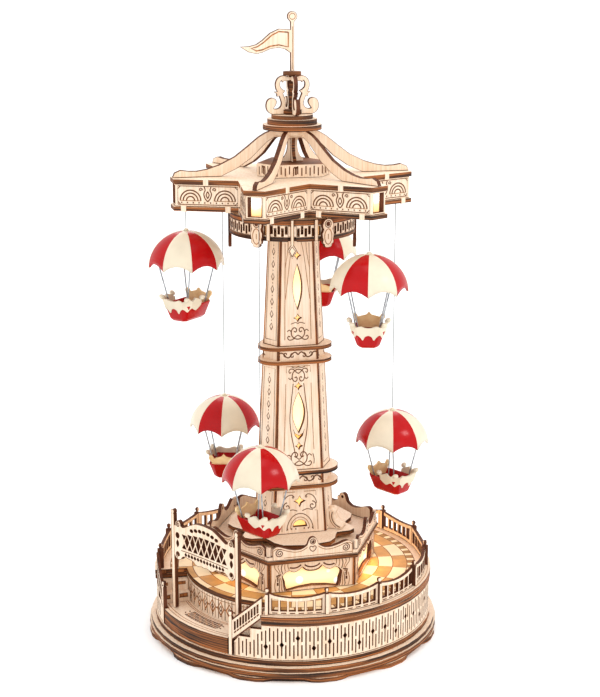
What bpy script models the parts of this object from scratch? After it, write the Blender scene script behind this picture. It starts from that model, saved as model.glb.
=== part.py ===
"""Parachute drop tower: a desk-top fairground model of laser-cut plywood with plastic parachutes.

Every size in this file is in millimetres, and make_object turns each finished mesh into metres. +Z is up and
the origin is on the tower's axis, at the level that the base rests on. Azimuths are in degrees, counted from
-Y, the front, towards +X.
"""

import bisect
import math

import bmesh
import bpy
from mathutils import Matrix, Vector

MM = 0.001
GAP = 0.3

# The stack of plywood sheets, from the floor up: lowest and highest level of each.
FEET_PLATE = (0.0, 2.7)
LOWER_PLATE = (3.0, 5.9)
MIDDLE_PLATE = (6.2, 8.7)
UPPER_PLATE = (9.0, 11.9)
SKIRT = (12.2, 33.0)
DECK_RING = (33.3, 36.0)
DECK_PLATE = (36.3, 38.8)
BOOTH_WALL = (39.1, 56.7)
BOOTH_LEDGE = (57.0, 59.4)
BOOTH_ROOF = (62.0, 64.5)
LOWER_STOREY = (64.8, 92.4)
LOWER_BAND = (92.7, 103.9)
MIDDLE_STOREY = (104.2, 168.7)
UPPER_BAND = (169.0, 179.6)
UPPER_STOREY = (179.9, 260.7)
GALLERY_FLOOR = (245.6, 247.8)
GALLERY_PANEL = (248.1, 254.9)
GALLERY_ROOF = (255.2, 258.2)
STAR_FLOOR = (261.0, 263.4)
STAR_WALL = (263.7, 276.1)
STAR_ROOF = (276.4, 279.0)
DRUM = (279.3, 286.5)
PEDESTAL = (286.8, 300.5)
CROWN = (305.1, 313.5)

# Radii of the base.
FEET_RADIUS = 86.0
FOOT_REACH = 89.0
FOOT_COUNT = 12
LOWER_PLATE_RADIUS = 88.6
MIDDLE_PLATE_RADIUS = 87.6
UPPER_PLATE_RADIUS = 84.9
SKIRT_RADIUS = 84.0
SKIRT_THICKNESS = 1.8
DECK_RADIUS = 85.0
CIRCLE_STEPS = 48

# The entry is cut into the left of the front, between these azimuths.
ENTRY_START = -93.6
ENTRY_END = -25.4
ENTRY_MIDDLE = (ENTRY_START + ENTRY_END) / 2
FLIGHT_FOOT = 24.9
NEWEL_TURN = 21.2
NEWEL_RADIUS = 83.2
NEWEL_TOP = 39.3
LANDING_MOUTH = 19.8
LANDING = (12.2, 22.0)
ENTRY_WALL_INNER = 64.2
ENTRY_WALL_THICKNESS = 1.4
STAIR_INNER = 65.9
STAIR_OUTER = 81.0
STEP_COUNT = 2
TREAD_THICKNESS = 2.7
SIGN_TURN = 1.3
SIGN_HALF_ANGLE = 20.8
SIGN_RADIUS = 78.0
SIGN_THICKNESS = 2.4
SIGN_SLOT = (62.8, 72.6)
SIGN_SLOT_HALF_WIDTH = 1.2
SIGN_SLOT_PITCH = 5.4

# The balustrade on the deck.
POST_RADIUS = 80.7
POST_STEP = 24.0
POST_COUNT = 13
BAYS_PER_PIECE = 3
RAIL_OUTER = 81.6
RAIL_THICKNESS = 1.8
POST_TOP = 55.0
POST_CLEARANCE = 1.75
RAIL_LOW = 39.1
RAIL_MIDDLE = 49.2
RAIL_RISE = 2.3
RAIL_DEPTH = 2.1
OPENINGS_PER_BAY = 6
BAY_MARGIN = 1.4
BAR_HALF_ANGLE = 0.4

# The booth under the tower.
BOOTH_TURN = 1.5
BOOTH_APOTHEM = 45.6
BOOTH_THICKNESS = 2.2
WINDOW_HALF_OUTLINE = ((16.2, 39.7), (17.0, 44.3), (18.3, 48.8), (13.7, 52.0), (10.6, 50.8), (5.9, 53.8))
SILL_MIDDLE = 41.7
SWAG_MIDDLE = 51.2
LINER_THICKNESS = 0.5
LEDGE_APOTHEM = 47.3
FASCIA_APOTHEM = 47.0

# The column: three wide and three narrow faces. Level and corner radius of its outline.
WIDE_HALF_ANGLE = 39.5
NARROW_HALF_ANGLE = 60.0 - WIDE_HALF_ANGLE
WIDE_FACES = (0.0, 120.0, 240.0)
COLUMN_TAPER = ((64.8, 25.5), (92.4, 23.4), (104.2, 22.7), (168.7, 19.35), (179.9, 18.75), (260.7, 14.5))
COLUMN_THICKNESS = 2.0

GALLERY_TURN = -13.15
GALLERY_RADIUS = 36.8
PANEL_OUTER = 36.5
PANEL_THICKNESS = 1.6

# The star roof carries the six parachutes at its tips.
ARM_COUNT = 6
ARM_AZIMUTHS = [-30.0 + 60.0 * arm for arm in range(ARM_COUNT)]
TIP_RADIUS = 70.6
TIP_HALF_WIDTH = 6.1
NOTCH_RADIUS = 41.8
STAR_WALL_SETBACK = 1.2
STAR_WALL_THICKNESS = 2.2
STRING_RADIUS = 62.9

# Parachutes: azimuth, height of the canopy's apex and the direction that the basket's front faces.
CANOPY_RADIUS = 22.0
CANOPY_HEIGHT = 21.0
CANOPY_WALL = 1.0
GORES = 8
BASKET_DROP = 52.0
BASKET_HEIGHT = 10.0
ROD_RADIUS = 0.45
PARACHUTES = {
    "left": (-90.0, 248.4, -46.6),
    "front_left": (-30.0, 132.2, 33.1),
    "front_right": (30.0, 240.5, -16.6),
    "right": (90.0, 132.0, 29.3),
    "rear_right": (150.0, 240.5, 161.0),
    "rear_left": (210.0, 132.4, 164.2),
}
CORD_RADIUS = 0.35

FINISHES = {
    "plywood": ((0.86, 0.70, 0.52), 0.6, 0.0),
    "dark_plywood": ((0.36, 0.16, 0.06), 0.65, 0.0),
    "frosted_film": ((0.95, 0.86, 0.60), 0.35, 0.0),
    "red_plastic": ((0.72, 0.04, 0.05), 0.25, 0.0),
    "cord_white": ((0.85, 0.84, 0.82), 0.7, 0.0),
}


def clear_scene():
    for old in list(bpy.data.objects):
        bpy.data.objects.remove(old, do_unlink=True)


def finish(name):
    """The material of that name, made once."""
    found = bpy.data.materials.get(name)
    if found:
        return found
    colour, roughness, metallic = FINISHES[name]
    made = bpy.data.materials.new(name)
    made.use_nodes = True
    shader = made.node_tree.nodes["Principled BSDF"]
    shader.inputs["Base Color"].default_value = (*colour, 1.0)
    shader.inputs["Roughness"].default_value = roughness
    shader.inputs["Metallic"].default_value = metallic
    made.diffuse_color = (*colour, 1.0)
    return made


def make_object(name, bm, finish_name="plywood", origin=(0.0, 0.0, 0.0)):
    """Closes the work on a mesh: millimetres to metres, faces out, and the object's own origin."""
    bmesh.ops.translate(bm, vec=-Vector(origin), verts=bm.verts)
    bmesh.ops.scale(bm, vec=(MM, MM, MM), verts=bm.verts)
    bmesh.ops.recalc_face_normals(bm, faces=bm.faces)
    mesh = bpy.data.meshes.new(name)
    bm.to_mesh(mesh)
    bm.free()
    mesh.materials.append(finish(finish_name))
    made = bpy.data.objects.new(name, mesh)
    made.location = Vector(origin) * MM
    bpy.context.scene.collection.objects.link(made)
    return made


def boolean(target, bm, operation):
    """Cuts the mesh from the target, or fuses it to it, with a hidden helper."""
    helper = make_object(f"{target.name}_{operation.lower()}_{len(target.modifiers)}", bm)
    helper.hide_render = True
    helper.display_type = "WIRE"
    modifier = target.modifiers.new(operation.title(), "BOOLEAN")
    modifier.operation = operation
    modifier.solver = "EXACT"
    modifier.object = helper


def polar(radius, azimuth):
    angle = math.radians(azimuth)
    return (radius * math.sin(angle), -radius * math.cos(angle))


def arc(radius, start, end, steps):
    return [polar(radius, start + (end - start) * i / steps) for i in range(steps + 1)]


def circle(radius, steps=CIRCLE_STEPS):
    return arc(radius, 0.0, 360.0, steps)[:-1]


def ring_arc(centre, radius, start, end, steps):
    """Points on an arc about any centre. Angles count from +X towards the second axis."""
    points = []
    for i in range(steps + 1):
        angle = math.radians(start + (end - start) * i / steps)
        points.append((centre[0] + radius * math.cos(angle), centre[1] + radius * math.sin(angle)))
    return points


def rectangle(left, low, right, high):
    return [(left, low), (right, low), (right, high), (left, high)]


def four_point_star(centre, half_width, half_height):
    """A small star whose four sides curve in towards its centre."""
    points = []
    for i in range(8):
        angle = math.radians(45.0 * i)
        reach = (1.0, 0.45)[i % 2]
        points.append(
            (centre[0] + half_width * reach * math.cos(angle), centre[1] + half_height * reach * math.sin(angle))
        )
    return points


def lens(middle, low, high, half_width, steps=5):
    """A pointed oval that stands on its tip."""
    side = [math.sin(math.pi * i / steps) * half_width for i in range(steps + 1)]
    level = [low + (high - low) * i / steps for i in range(steps + 1)]
    right = [(middle + x, z) for x, z in zip(side, level)]
    left = [(middle - x, z) for x, z in zip(side[-2:0:-1], level[-2:0:-1])]
    return right + left


def hexagon(apothem, turn):
    """Corners of a regular hexagon with a side facing that azimuth, starting at that side's first corner."""
    corner = apothem / math.cos(math.radians(30.0))
    return [polar(corner, turn - 30.0 + 60.0 * i) for i in range(6)]


def column_hexagon(corner_radius):
    corners = []
    for face in WIDE_FACES:
        corners.append(polar(corner_radius, face - WIDE_HALF_ANGLE))
        corners.append(polar(corner_radius, face + WIDE_HALF_ANGLE))
    return corners


def column_radius(level):
    """Corner radius of the column at a level."""
    levels = [entry[0] for entry in COLUMN_TAPER]
    at = min(max(bisect.bisect_right(levels, level), 1), len(levels) - 1)
    (low, low_radius), (high, high_radius) = COLUMN_TAPER[at - 1], COLUMN_TAPER[at]
    return low_radius + (high_radius - low_radius) * (level - low) / (high - low)


def star(tip_radius, tip_half_width, notch_radius):
    """Outline of the six-armed roof, each arm cut off square."""
    points = []
    for azimuth in ARM_AZIMUTHS:
        lean = math.degrees(math.atan2(tip_half_width, tip_radius))
        corner = math.hypot(tip_radius, tip_half_width)
        points.append(polar(corner, azimuth - lean))
        points.append(polar(corner, azimuth + lean))
        points.append(polar(notch_radius, azimuth + 30.0))
    return points


def offset_corners(path, depth, closed):
    """The corners of a line that runs inside a path, at that depth from it. The path turns anticlockwise."""
    inner = []
    for i, corner in enumerate(path):
        normals = []
        for a, b in ((i - 1, i), (i, i + 1)):
            if closed or (a >= 0 and b < len(path)):
                start = Vector(path[a % len(path)])
                along = (Vector(path[b % len(path)]) - start).normalized()
                normals.append(Vector((-along.y, along.x)))
        if len(normals) == 2:
            shift = (normals[0] + normals[1]) / (1.0 + normals[0].dot(normals[1]))
        else:
            shift = normals[0]
        inner.append(tuple(Vector(corner) + shift * depth))
    return inner


def sheet(outline, holes, depth):
    """A flat sheet cut to an outline in X and Y, with its thickness along +Z."""
    bm = bmesh.new()
    edges = []
    for loop in (outline, *holes):
        verts = [bm.verts.new((x, y, 0.0)) for x, y in loop]
        for i, vert in enumerate(verts):
            edges.append(bm.edges.new((vert, verts[(i + 1) % len(verts)])))
    bmesh.ops.triangle_fill(bm, use_beauty=True, use_dissolve=False, edges=edges)
    grown = bmesh.ops.extrude_face_region(bm, geom=bm.faces[:])["geom"]
    moved = [item for item in grown if isinstance(item, bmesh.types.BMVert)]
    bmesh.ops.translate(bm, vec=(0.0, 0.0, depth), verts=moved)
    bmesh.ops.recalc_face_normals(bm, faces=bm.faces)
    return bm


def level_sheet(outline, levels, holes=()):
    bm = sheet(outline, holes, levels[1] - levels[0])
    bmesh.ops.translate(bm, vec=(0.0, 0.0, levels[0]), verts=bm.verts)
    return bm


def stand(bm, azimuth, radius=0.0, lift=0.0):
    """Stands a sheet up: X runs along the tower's side, Y goes up and the thickness goes inwards."""
    upright = Matrix(((1, 0, 0, 0), (0, 0, 1, -radius), (0, 1, 0, lift), (0, 0, 0, 1)))
    turn = Matrix.Rotation(math.radians(azimuth), 4, "Z")
    bmesh.ops.transform(bm, matrix=turn @ upright, verts=bm.verts)
    return bm


def wrap(bm, path, thickness, closed=False, inner_path=None):
    """Folds a sheet round a path: X runs along the path, Y goes up and the thickness goes inwards."""
    outer = [Vector(point) for point in path]
    inner = [Vector(point) for point in inner_path or offset_corners(path, thickness, closed)]
    if closed:
        outer.append(outer[0])
        inner.append(inner[0])
    along = [0.0]
    for i in range(len(outer) - 1):
        along.append(along[-1] + (outer[i + 1] - outer[i]).length)
    for place in along[1:-1]:
        everything = bm.verts[:] + bm.edges[:] + bm.faces[:]
        bmesh.ops.bisect_plane(bm, geom=everything, dist=1e-5, plane_co=(place, 0, 0), plane_no=(1, 0, 0))
    if closed:
        ends = []
        for face in bm.faces:
            places = [vert.co.x for vert in face.verts]
            if max(places) < 1e-4 or min(places) > along[-1] - 1e-4:
                ends.append(face)
        bmesh.ops.delete(bm, geom=ends, context="FACES_ONLY")
    for vert in bm.verts:
        u, up, depth = vert.co
        i = min(max(bisect.bisect_right(along, u) - 1, 0), len(along) - 2)
        share = (u - along[i]) / (along[i + 1] - along[i])
        front = outer[i].lerp(outer[i + 1], share)
        back = inner[i].lerp(inner[i + 1], share)
        point = front.lerp(back, depth / thickness)
        vert.co = (point.x, point.y, up)
    if closed:
        bmesh.ops.remove_doubles(bm, verts=bm.verts, dist=1e-3)
    return bm


def path_length(path, closed):
    points = [Vector(point) for point in path]
    if closed:
        points.append(points[0])
    return sum((b - a).length for a, b in zip(points, points[1:]))


def lathe(profile, sides, centre=(0.0, 0.0)):
    """A turned solid from radii and levels. The first and last radius close on the axis."""
    bm = bmesh.new()
    rings = []
    for radius, level in profile:
        ring = []
        for x, y in circle(radius, sides):
            ring.append(bm.verts.new((centre[0] + x, centre[1] + y, level)))
        rings.append(ring)
    for low, high in zip(rings, rings[1:]):
        for i in range(sides):
            j = (i + 1) % sides
            bm.faces.new((low[i], low[j], high[j], high[i]))
    bm.faces.new(rings[0])
    bm.faces.new(rings[-1])
    bmesh.ops.recalc_face_normals(bm, faces=bm.faces)
    return bm


def merged(parts):
    """Several meshes in one, each left as its own closed shell."""
    target = bmesh.new()
    for part in parts:
        part.verts.ensure_lookup_table()
        part.verts.index_update()
        copies = [target.verts.new(vert.co) for vert in part.verts]
        for face in part.faces:
            target.faces.new([copies[vert.index] for vert in face.verts])
        part.free()
    return target


def ball_post(place, low, high, half_width, ball=1.6):
    """A square post with a waist and a ball on top."""
    radius = half_width * math.sqrt(2.0)
    neck = high - 2.0 * ball
    profile = [(radius, low), (radius, neck - 0.8), (0.8, neck - 0.2)]
    profile += [(ball, neck + ball), (ball * 0.75, high - 0.4), (0.3, high)]
    return lathe(profile, 6, place)


def disc(name, radius, levels, steps=CIRCLE_STEPS):
    return make_object(name, level_sheet(circle(radius, steps), levels))


def make_base():
    outline = []
    for i in range(FOOT_COUNT):
        middle = 360.0 / FOOT_COUNT * i
        for turn, reach in ((-9, 0.0), (-6, 0.7), (-3, 1.0), (3, 1.0), (6, 0.7), (9, 0.0)):
            outline.append(polar(FEET_RADIUS + (FOOT_REACH - FEET_RADIUS) * reach, middle + turn))
    make_object("base_feet_plate", level_sheet(outline, FEET_PLATE), "dark_plywood")
    disc("base_lower_plate", LOWER_PLATE_RADIUS, LOWER_PLATE)
    disc("base_middle_plate", MIDDLE_PLATE_RADIUS, MIDDLE_PLATE)
    disc("base_upper_plate", UPPER_PLATE_RADIUS, UPPER_PLATE)


def arc_path(radius, start, end, step):
    return arc(radius, start, end, max(1, round((end - start) / step)))


def bent_sheet(outline, holes, outer_radius, thickness, start, end, step=7.0):
    """A sheet bent to a round of the tower. The outline's X is degrees of azimuth."""
    path = arc_path(outer_radius, start, end, step)
    per_degree = path_length(path, False) / (end - start)

    def along(loop):
        return [((azimuth - start) * per_degree, level) for azimuth, level in loop]

    bm = sheet(along(outline), [along(hole) for hole in holes], thickness)
    return wrap(bm, path, thickness, inner_path=arc_path(outer_radius - thickness, start, end, step))


def tread_levels():
    """The treads' levels, between the landing and the deck."""
    rise = (DECK_PLATE[1] - LANDING[1]) / (STEP_COUNT + 1)
    return [LANDING[1] + rise * (i + 1) for i in range(STEP_COUNT)]


def steps(foot, head, levels):
    """The top of a flight from its foot to its head, in azimuth and level."""
    points = []
    tread = (head - foot) / len(levels)
    for i, level in enumerate(levels):
        points.append((foot + tread * i, level))
        points.append((foot + tread * (i + 1), level))
    return points


def beside_entry(turn, side):
    """The azimuth at that turn from the middle of the entry. Side is 1 to the right and -1 to the left."""
    return ENTRY_MIDDLE + side * turn


def make_skirt():
    """The wall under the deck. It steps down beside the two flights."""
    low, high = SKIRT
    foot = NEWEL_TURN + 1.5
    head = (ENTRY_END - ENTRY_START) / 2.0
    levels = [level - TREAD_THICKNESS for level in tread_levels()]
    side = [(foot, low), (foot, LANDING[1] - 1.0)] + steps(FLIGHT_FOOT, head, levels) + [(head, high)]
    right = [(beside_entry(turn, 1.0), level) for turn, level in side]
    left = [(beside_entry(turn, -1.0) + 360.0, level) for turn, level in reversed(side)]
    bm = bent_sheet(right + left, [], SKIRT_RADIUS, SKIRT_THICKNESS, right[0][0], left[-1][0])
    make_object("skirt_wall", bm)


def deck_outline(radius, cut_radius):
    rim = arc_path(radius, ENTRY_END, ENTRY_START + 360.0, 7.5)
    return rim + arc_path(cut_radius, ENTRY_START, ENTRY_END, 7.2)


def make_deck():
    cut = ENTRY_WALL_INNER - GAP
    ring = level_sheet(deck_outline(UPPER_PLATE_RADIUS, cut), DECK_RING)
    make_object("deck_lower_plate", ring)
    plate = level_sheet(deck_outline(DECK_RADIUS, ENTRY_WALL_INNER + ENTRY_WALL_THICKNESS), DECK_PLATE)
    make_object("deck_plate", plate)


def make_entry():
    """The recessed doorstep of the tower: its back wall, the landing and a flight to each side."""
    start, end = ENTRY_START + GAP, ENTRY_END - GAP
    outer = ENTRY_WALL_INNER + ENTRY_WALL_THICKNESS
    outline = rectangle(start, SKIRT[0], end, DECK_RING[1])
    make_object("entry_wall", bent_sheet(outline, [], outer, ENTRY_WALL_THICKNESS, start, end))
    first, last = beside_entry(FLIGHT_FOOT - GAP, -1.0), beside_entry(FLIGHT_FOOT - GAP, 1.0)
    mouth_start, mouth_end = beside_entry(LANDING_MOUTH, -1.0), beside_entry(LANDING_MOUTH, 1.0)
    rim = [polar(STAIR_OUTER, first), polar(STAIR_OUTER, mouth_start)]
    rim += arc_path(SKIRT_RADIUS, mouth_start, mouth_end, 7.0)
    rim += [polar(STAIR_OUTER, mouth_end), polar(STAIR_OUTER, last)]
    make_object("entry_landing", level_sheet(rim + arc_path(STAIR_INNER, first, last, 7.0)[::-1], LANDING))
    head = (ENTRY_END - ENTRY_START) / 2.0 - GAP
    profile = [(head, SKIRT[0]), (FLIGHT_FOOT, SKIRT[0])] + steps(FLIGHT_FOOT, head, tread_levels())
    for name, side in (("right", 1.0), ("left", -1.0)):
        outline = [(beside_entry(turn, side), level) for turn, level in profile]
        start, end = sorted((beside_entry(FLIGHT_FOOT, side), beside_entry(head, side)))
        flight = bent_sheet(outline, [], STAIR_OUTER, STAIR_OUTER - STAIR_INNER, start, end, 5.0)
        make_object(f"entry_stair_{name}", flight)


def make_stair_rails():
    """A sloping rail beside each flight, from a newel at its foot up to the deck's first post."""
    near, deck_edge, far = NEWEL_TURN + 0.6, 33.7, 34.25
    floor = DECK_PLATE[1] + GAP

    def slope(turn):
        return 20.5 + 1.28 * (turn - NEWEL_TURN)

    height = 13.0
    profile = [(near, slope(near) + height), (near, slope(near)), (deck_edge, slope(deck_edge))]
    profile += [(deck_edge, floor), (far, floor), (far, slope(far) + height)]
    bars = []
    pitch = (far - near - 2.2) / 5.0
    for i in range(5):
        a = near + 1.5 + pitch * i
        b = a + pitch - 0.75
        bars.append([(a, slope(a) + 3.2), (b, slope(b) + 3.2), (b, slope(b) + 10.2), (a, slope(a) + 10.2)])
    for name, side in (("right", 1.0), ("left", -1.0)):
        outline = [(beside_entry(turn, side), level) for turn, level in profile]
        holes = [[(beside_entry(turn, side), level) for turn, level in bar] for bar in bars]
        start, end = sorted((beside_entry(near, side), beside_entry(far, side)))
        made = make_object(f"stair_rail_{name}", bent_sheet(outline, holes, SKIRT_RADIUS, 1.6, start, end, 7.0))
        newel = polar(NEWEL_RADIUS, beside_entry(NEWEL_TURN, side))
        boolean(made, ball_post(newel, SKIRT[0], NEWEL_TOP, 1.2), "UNION")


def make_sign():
    """The gateway over the landing: two ball-topped posts with a shaped board between them."""
    half = SIGN_RADIUS * math.sin(math.radians(SIGN_HALF_ANGLE))
    reach = SIGN_RADIUS * math.cos(math.radians(SIGN_HALF_ANGLE))
    low = LANDING[1] + GAP
    post = 1.7
    inner = half - post
    right = [(half + post, low), (half + post, 81.6), (half + 0.9, 82.2)]
    right += ring_arc((half, 84.4), 2.3, -60.0, 240.0, 8)
    right += [(half - 0.9, 82.2), (inner, 81.6), (inner, 75.2)]
    right += ring_arc((inner - 3.4, 76.3), 2.3, -30.0, 190.0, 6)
    right += [(18.0, 75.6), (14.0, 77.5), (10.7, 79.0), (6.5, 80.6)]
    top = [(0.0, 81.1)]
    left = [(-x, z) for x, z in reversed(right)]
    under = [(-inner, low), (-inner, 55.8), (-24.0, 54.7), (-20.8, 55.0), (-18.4, 57.2), (-10.0, 56.7), (-5.5, 55.0)]
    under += [(-x, z) for x, z in reversed(under)]
    openings = [lens(SIGN_SLOT_PITCH * i, *SIGN_SLOT, SIGN_SLOT_HALF_WIDTH, 4) for i in range(-3, 4)]
    bm = sheet(right + top + left + under, openings, SIGN_THICKNESS)
    make_object("entrance_sign", stand(bm, ENTRY_MIDDLE + SIGN_TURN, reach))


def balustrade_piece(name, first_post):
    """Three bays of railing between four posts. The top rail hangs in a curve in each bay."""
    start = 0.5 + POST_STEP * first_post
    end = start + POST_STEP * BAYS_PER_PIECE
    trim = 0.9
    last_piece = first_post + BAYS_PER_PIECE == POST_COUNT - 2
    curve_steps = 4
    top = []
    holes = []
    for bay in range(BAYS_PER_PIECE):
        left = start + POST_STEP * bay

        def height(azimuth, left=left):
            share = (azimuth - left) / POST_STEP
            return RAIL_MIDDLE + RAIL_RISE * (2.0 * share - 1.0) ** 2

        for i in range(curve_steps):
            azimuth = left + POST_STEP * i / curve_steps
            top.append((max(azimuth, start + trim), height(azimuth)))
        pitch = (POST_STEP - 2 * BAY_MARGIN) / OPENINGS_PER_BAY
        for i in range(OPENINGS_PER_BAY):
            a = left + BAY_MARGIN + pitch * i + BAR_HALF_ANGLE
            b = a + pitch - 2 * BAR_HALF_ANGLE
            foot = RAIL_LOW + RAIL_DEPTH
            holes.append([(a, foot), (b, foot), (b, height(b) - RAIL_DEPTH), (a, height(a) - RAIL_DEPTH)])
    finish_at = end if last_piece else end - POST_CLEARANCE
    top.append((finish_at, height(finish_at)))
    outline = [(finish_at, RAIL_LOW), (start + trim, RAIL_LOW)] + top
    bm = bent_sheet(outline, holes, RAIL_OUTER, RAIL_THICKNESS, start + trim, finish_at, 12.0)
    made = make_object(name, bm)
    posts = []
    for i in range(BAYS_PER_PIECE + last_piece):
        posts.append(ball_post(polar(POST_RADIUS, start + POST_STEP * i), RAIL_LOW, POST_TOP, 1.5))
    boolean(made, merged(posts), "UNION")


def make_balustrades():
    for i, name in enumerate(("front", "right", "rear", "left")):
        balustrade_piece(f"balustrade_{name}", BAYS_PER_PIECE * i - 1)


def make_booth():
    """The six-sided ticket booth under the column, with curtained windows and a carved fascia."""
    path = hexagon(BOOTH_APOTHEM, BOOTH_TURN)
    side = path_length(path, True) / 6.0
    windows = []
    for i in range(6):
        middle = side * (i + 0.5)
        window = [(middle, SILL_MIDDLE)]
        window += [(middle + x, z) for x, z in WINDOW_HALF_OUTLINE]
        window += [(middle, SWAG_MIDDLE)]
        window += [(middle - x, z) for x, z in reversed(WINDOW_HALF_OUTLINE)]
        windows.append(window)
    outline = rectangle(0.0, BOOTH_WALL[0], side * 6.0, BOOTH_WALL[1])
    bm = wrap(sheet(outline, windows, BOOTH_THICKNESS), path, BOOTH_THICKNESS, closed=True)
    make_object("booth_walls", bm)
    liner_path = hexagon(BOOTH_APOTHEM - BOOTH_THICKNESS - GAP, BOOTH_TURN)
    outline = rectangle(0.0, BOOTH_WALL[0], path_length(liner_path, True), BOOTH_WALL[1])
    liner = wrap(sheet(outline, [], LINER_THICKNESS), liner_path, LINER_THICKNESS, closed=True)
    make_object("booth_window_liner", liner, "frosted_film")
    make_object("booth_ledge", level_sheet(hexagon(LEDGE_APOTHEM, BOOTH_TURN), BOOTH_LEDGE))
    make_fascia()
    roof = level_sheet(roof_plate_outline(), BOOTH_ROOF)
    made = make_object("booth_roof_plate", roof)
    boolean(made, level_sheet(circle(24.0, 24), (BOOTH_LEDGE[1] + GAP, BOOTH_ROOF[0] + 0.4)), "UNION")


def make_fascia():
    """Six scrolled boards on the ledge, joined at the corners. The ring is open by a saw cut at the rear."""
    path = hexagon(FASCIA_APOTHEM, BOOTH_TURN + 180.0)
    thickness = 2.0
    side = path_length(path, True) / 6.0
    low = BOOTH_LEDGE[1] + GAP
    half_board = [(0.0, 62.0), (2.2, 62.0), (2.6, 66.8), (6.2, 68.0), (11.0, 66.4), (15.1, 65.2)]
    half_board += [(20.5, 65.5), (23.1, 67.0), (24.5, 69.8)]
    top = []
    for i in range(6):
        left = side * i
        top += [(left + x, z) for x, z in half_board]
        top += [(left + side / 2, 72.0)]
        top += [(left + side - x, z) for x, z in reversed(half_board[1:])]
    end = side * 6.0 - 0.2
    outline = [(end, low), (0.1, low), (0.1, 62.0)] + top[1:] + [(end, 62.0)]
    bm = wrap(sheet(outline, [], thickness), path + [path[0]], thickness)
    make_object("booth_fascia", bm)


def roof_plate_outline():
    """Three broad lobes over the wide sides and three narrow ones under the consoles."""
    points = []
    half = [(0.0, 39.0), (6.0, 37.6), (11.0, 34.2), (16.0, 32.0), (22.0, 33.4), (30.0, 37.0), (39.0, 39.6)]
    for face in WIDE_FACES:
        middle = face + 60.0
        points.append(polar(40.0, middle - 60.0))
        points += [polar(radius, middle - turn) for turn, radius in reversed(half[1:])]
        points += [polar(radius, middle + turn) for turn, radius in half]
    return points


def column_tube(levels, holes, thickness=COLUMN_THICKNESS):
    """A length of the tapering column. Holes are cut in each wide face, with X from its middle."""
    low_radius, high_radius = column_radius(levels[0]), column_radius(levels[1])
    path = column_hexagon(low_radius)
    wide = 2.0 * low_radius * math.sin(math.radians(WIDE_HALF_ANGLE))
    narrow = 2.0 * low_radius * math.sin(math.radians(NARROW_HALF_ANGLE))
    loops = []
    for i in range(3):
        middle = wide / 2.0 + (wide + narrow) * i
        loops += [[(middle + x, z) for x, z in hole] for hole in holes]
    outline = rectangle(0.0, levels[0], 3.0 * (wide + narrow), levels[1])
    bm = wrap(sheet(outline, loops, thickness), path, thickness, closed=True)
    for vert in bm.verts:
        share = (vert.co.z - levels[0]) / (levels[1] - levels[0])
        scale = 1.0 + (high_radius / low_radius - 1.0) * share
        vert.co.x *= scale
        vert.co.y *= scale
    return bm


def rounded_triangle(apothem, reach, hole_radius, levels):
    """A collar plate: straight along the wide faces and round over the narrow ones, with the column's hole."""
    corner = 2.0 * apothem - reach
    centre = reach - corner
    points = []
    for face in WIDE_FACES:
        middle = polar(centre, face + 60.0)
        for i in range(9):
            turn = face + 60.0 - 60.0 + 15.0 * i
            x, y = polar(corner, turn)
            points.append((middle[0] + x, middle[1] + y))
    return level_sheet(points, levels, [column_hexagon(hole_radius)])


def make_band(name, levels, plate, apothem, reach):
    """Two collar plates with a strip of the column between them."""
    made = make_object(name, column_tube(levels, []))
    for low, high in ((levels[0], levels[0] + plate), (levels[1] - plate, levels[1])):
        hole = column_radius((low + high) / 2.0) - COLUMN_THICKNESS / 2.0
        boolean(made, rounded_triangle(apothem, reach, hole, (low + 0.05, high - 0.05)), "UNION")


def make_consoles():
    """Flared feet on the narrow faces of the column."""
    parts = []
    profile = [(22.0, 65.0), (39.0, 65.0), (39.0, 66.2), (33.0, 67.2), (28.6, 70.0), (26.2, 74.0), (25.0, 79.0)]
    profile += [(22.0, 80.0)]
    for face in WIDE_FACES:
        half = 6.6
        bm = sheet(profile, [], 2.0 * half)
        for vert in bm.verts:
            radius, level, across = vert.co
            x, y = polar(radius, face + 60.0)
            sideways = across - half
            direction = math.radians(face + 60.0)
            vert.co = (x + sideways * math.cos(direction), y + sideways * math.sin(direction), level)
        bmesh.ops.recalc_face_normals(bm, faces=bm.faces)
        parts.append(bm)
    return merged(parts)


def make_column():
    half_round = ring_arc((0.0, 67.7), 4.5, 0.0, 180.0, 6)
    holes = [four_point_star((0.0, 83.8), 3.8, 3.7), half_round]
    lower = make_object("column_lower_storey", column_tube(LOWER_STOREY, holes))
    boolean(lower, make_consoles(), "UNION")
    make_band("column_lower_band", LOWER_BAND, 2.4, 20.5, 28.0)
    chevron = [(-3.4, 128.5), (-2.2, 126.3), (0.0, 124.0), (2.2, 126.3), (3.4, 128.5), (2.4, 125.0)]
    chevron += [(0.0, 122.0), (-2.4, 125.0)]
    holes = [four_point_star((0.0, 118.1), 2.5, 2.6), chevron, lens(0.0, 126.0, 150.8, 3.8)]
    holes.append(four_point_star((0.0, 154.9), 2.7, 2.7))
    make_object("column_middle_storey", column_tube(MIDDLE_STOREY, holes))
    make_band("column_upper_band", UPPER_BAND, 2.2, 17.4, 23.8)
    holes = [four_point_star((0.0, 195.5), 2.7, 2.7), lens(0.0, 200.7, 228.2, 3.3)]
    holes.append(four_point_star((0.0, 232.7), 2.7, 2.7))
    make_object("column_upper_storey", column_tube(UPPER_STOREY, holes))


def cartouche_outline():
    half = [(0.0, 241.7), (1.8, 242.1), (2.6, 243.4), (3.5, 245.6), (3.5, 254.4), (2.6, 256.6), (1.8, 257.9)]
    return half + [(0.0, 258.3)] + [(-x, z) for x, z in reversed(half[1:])]


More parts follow.
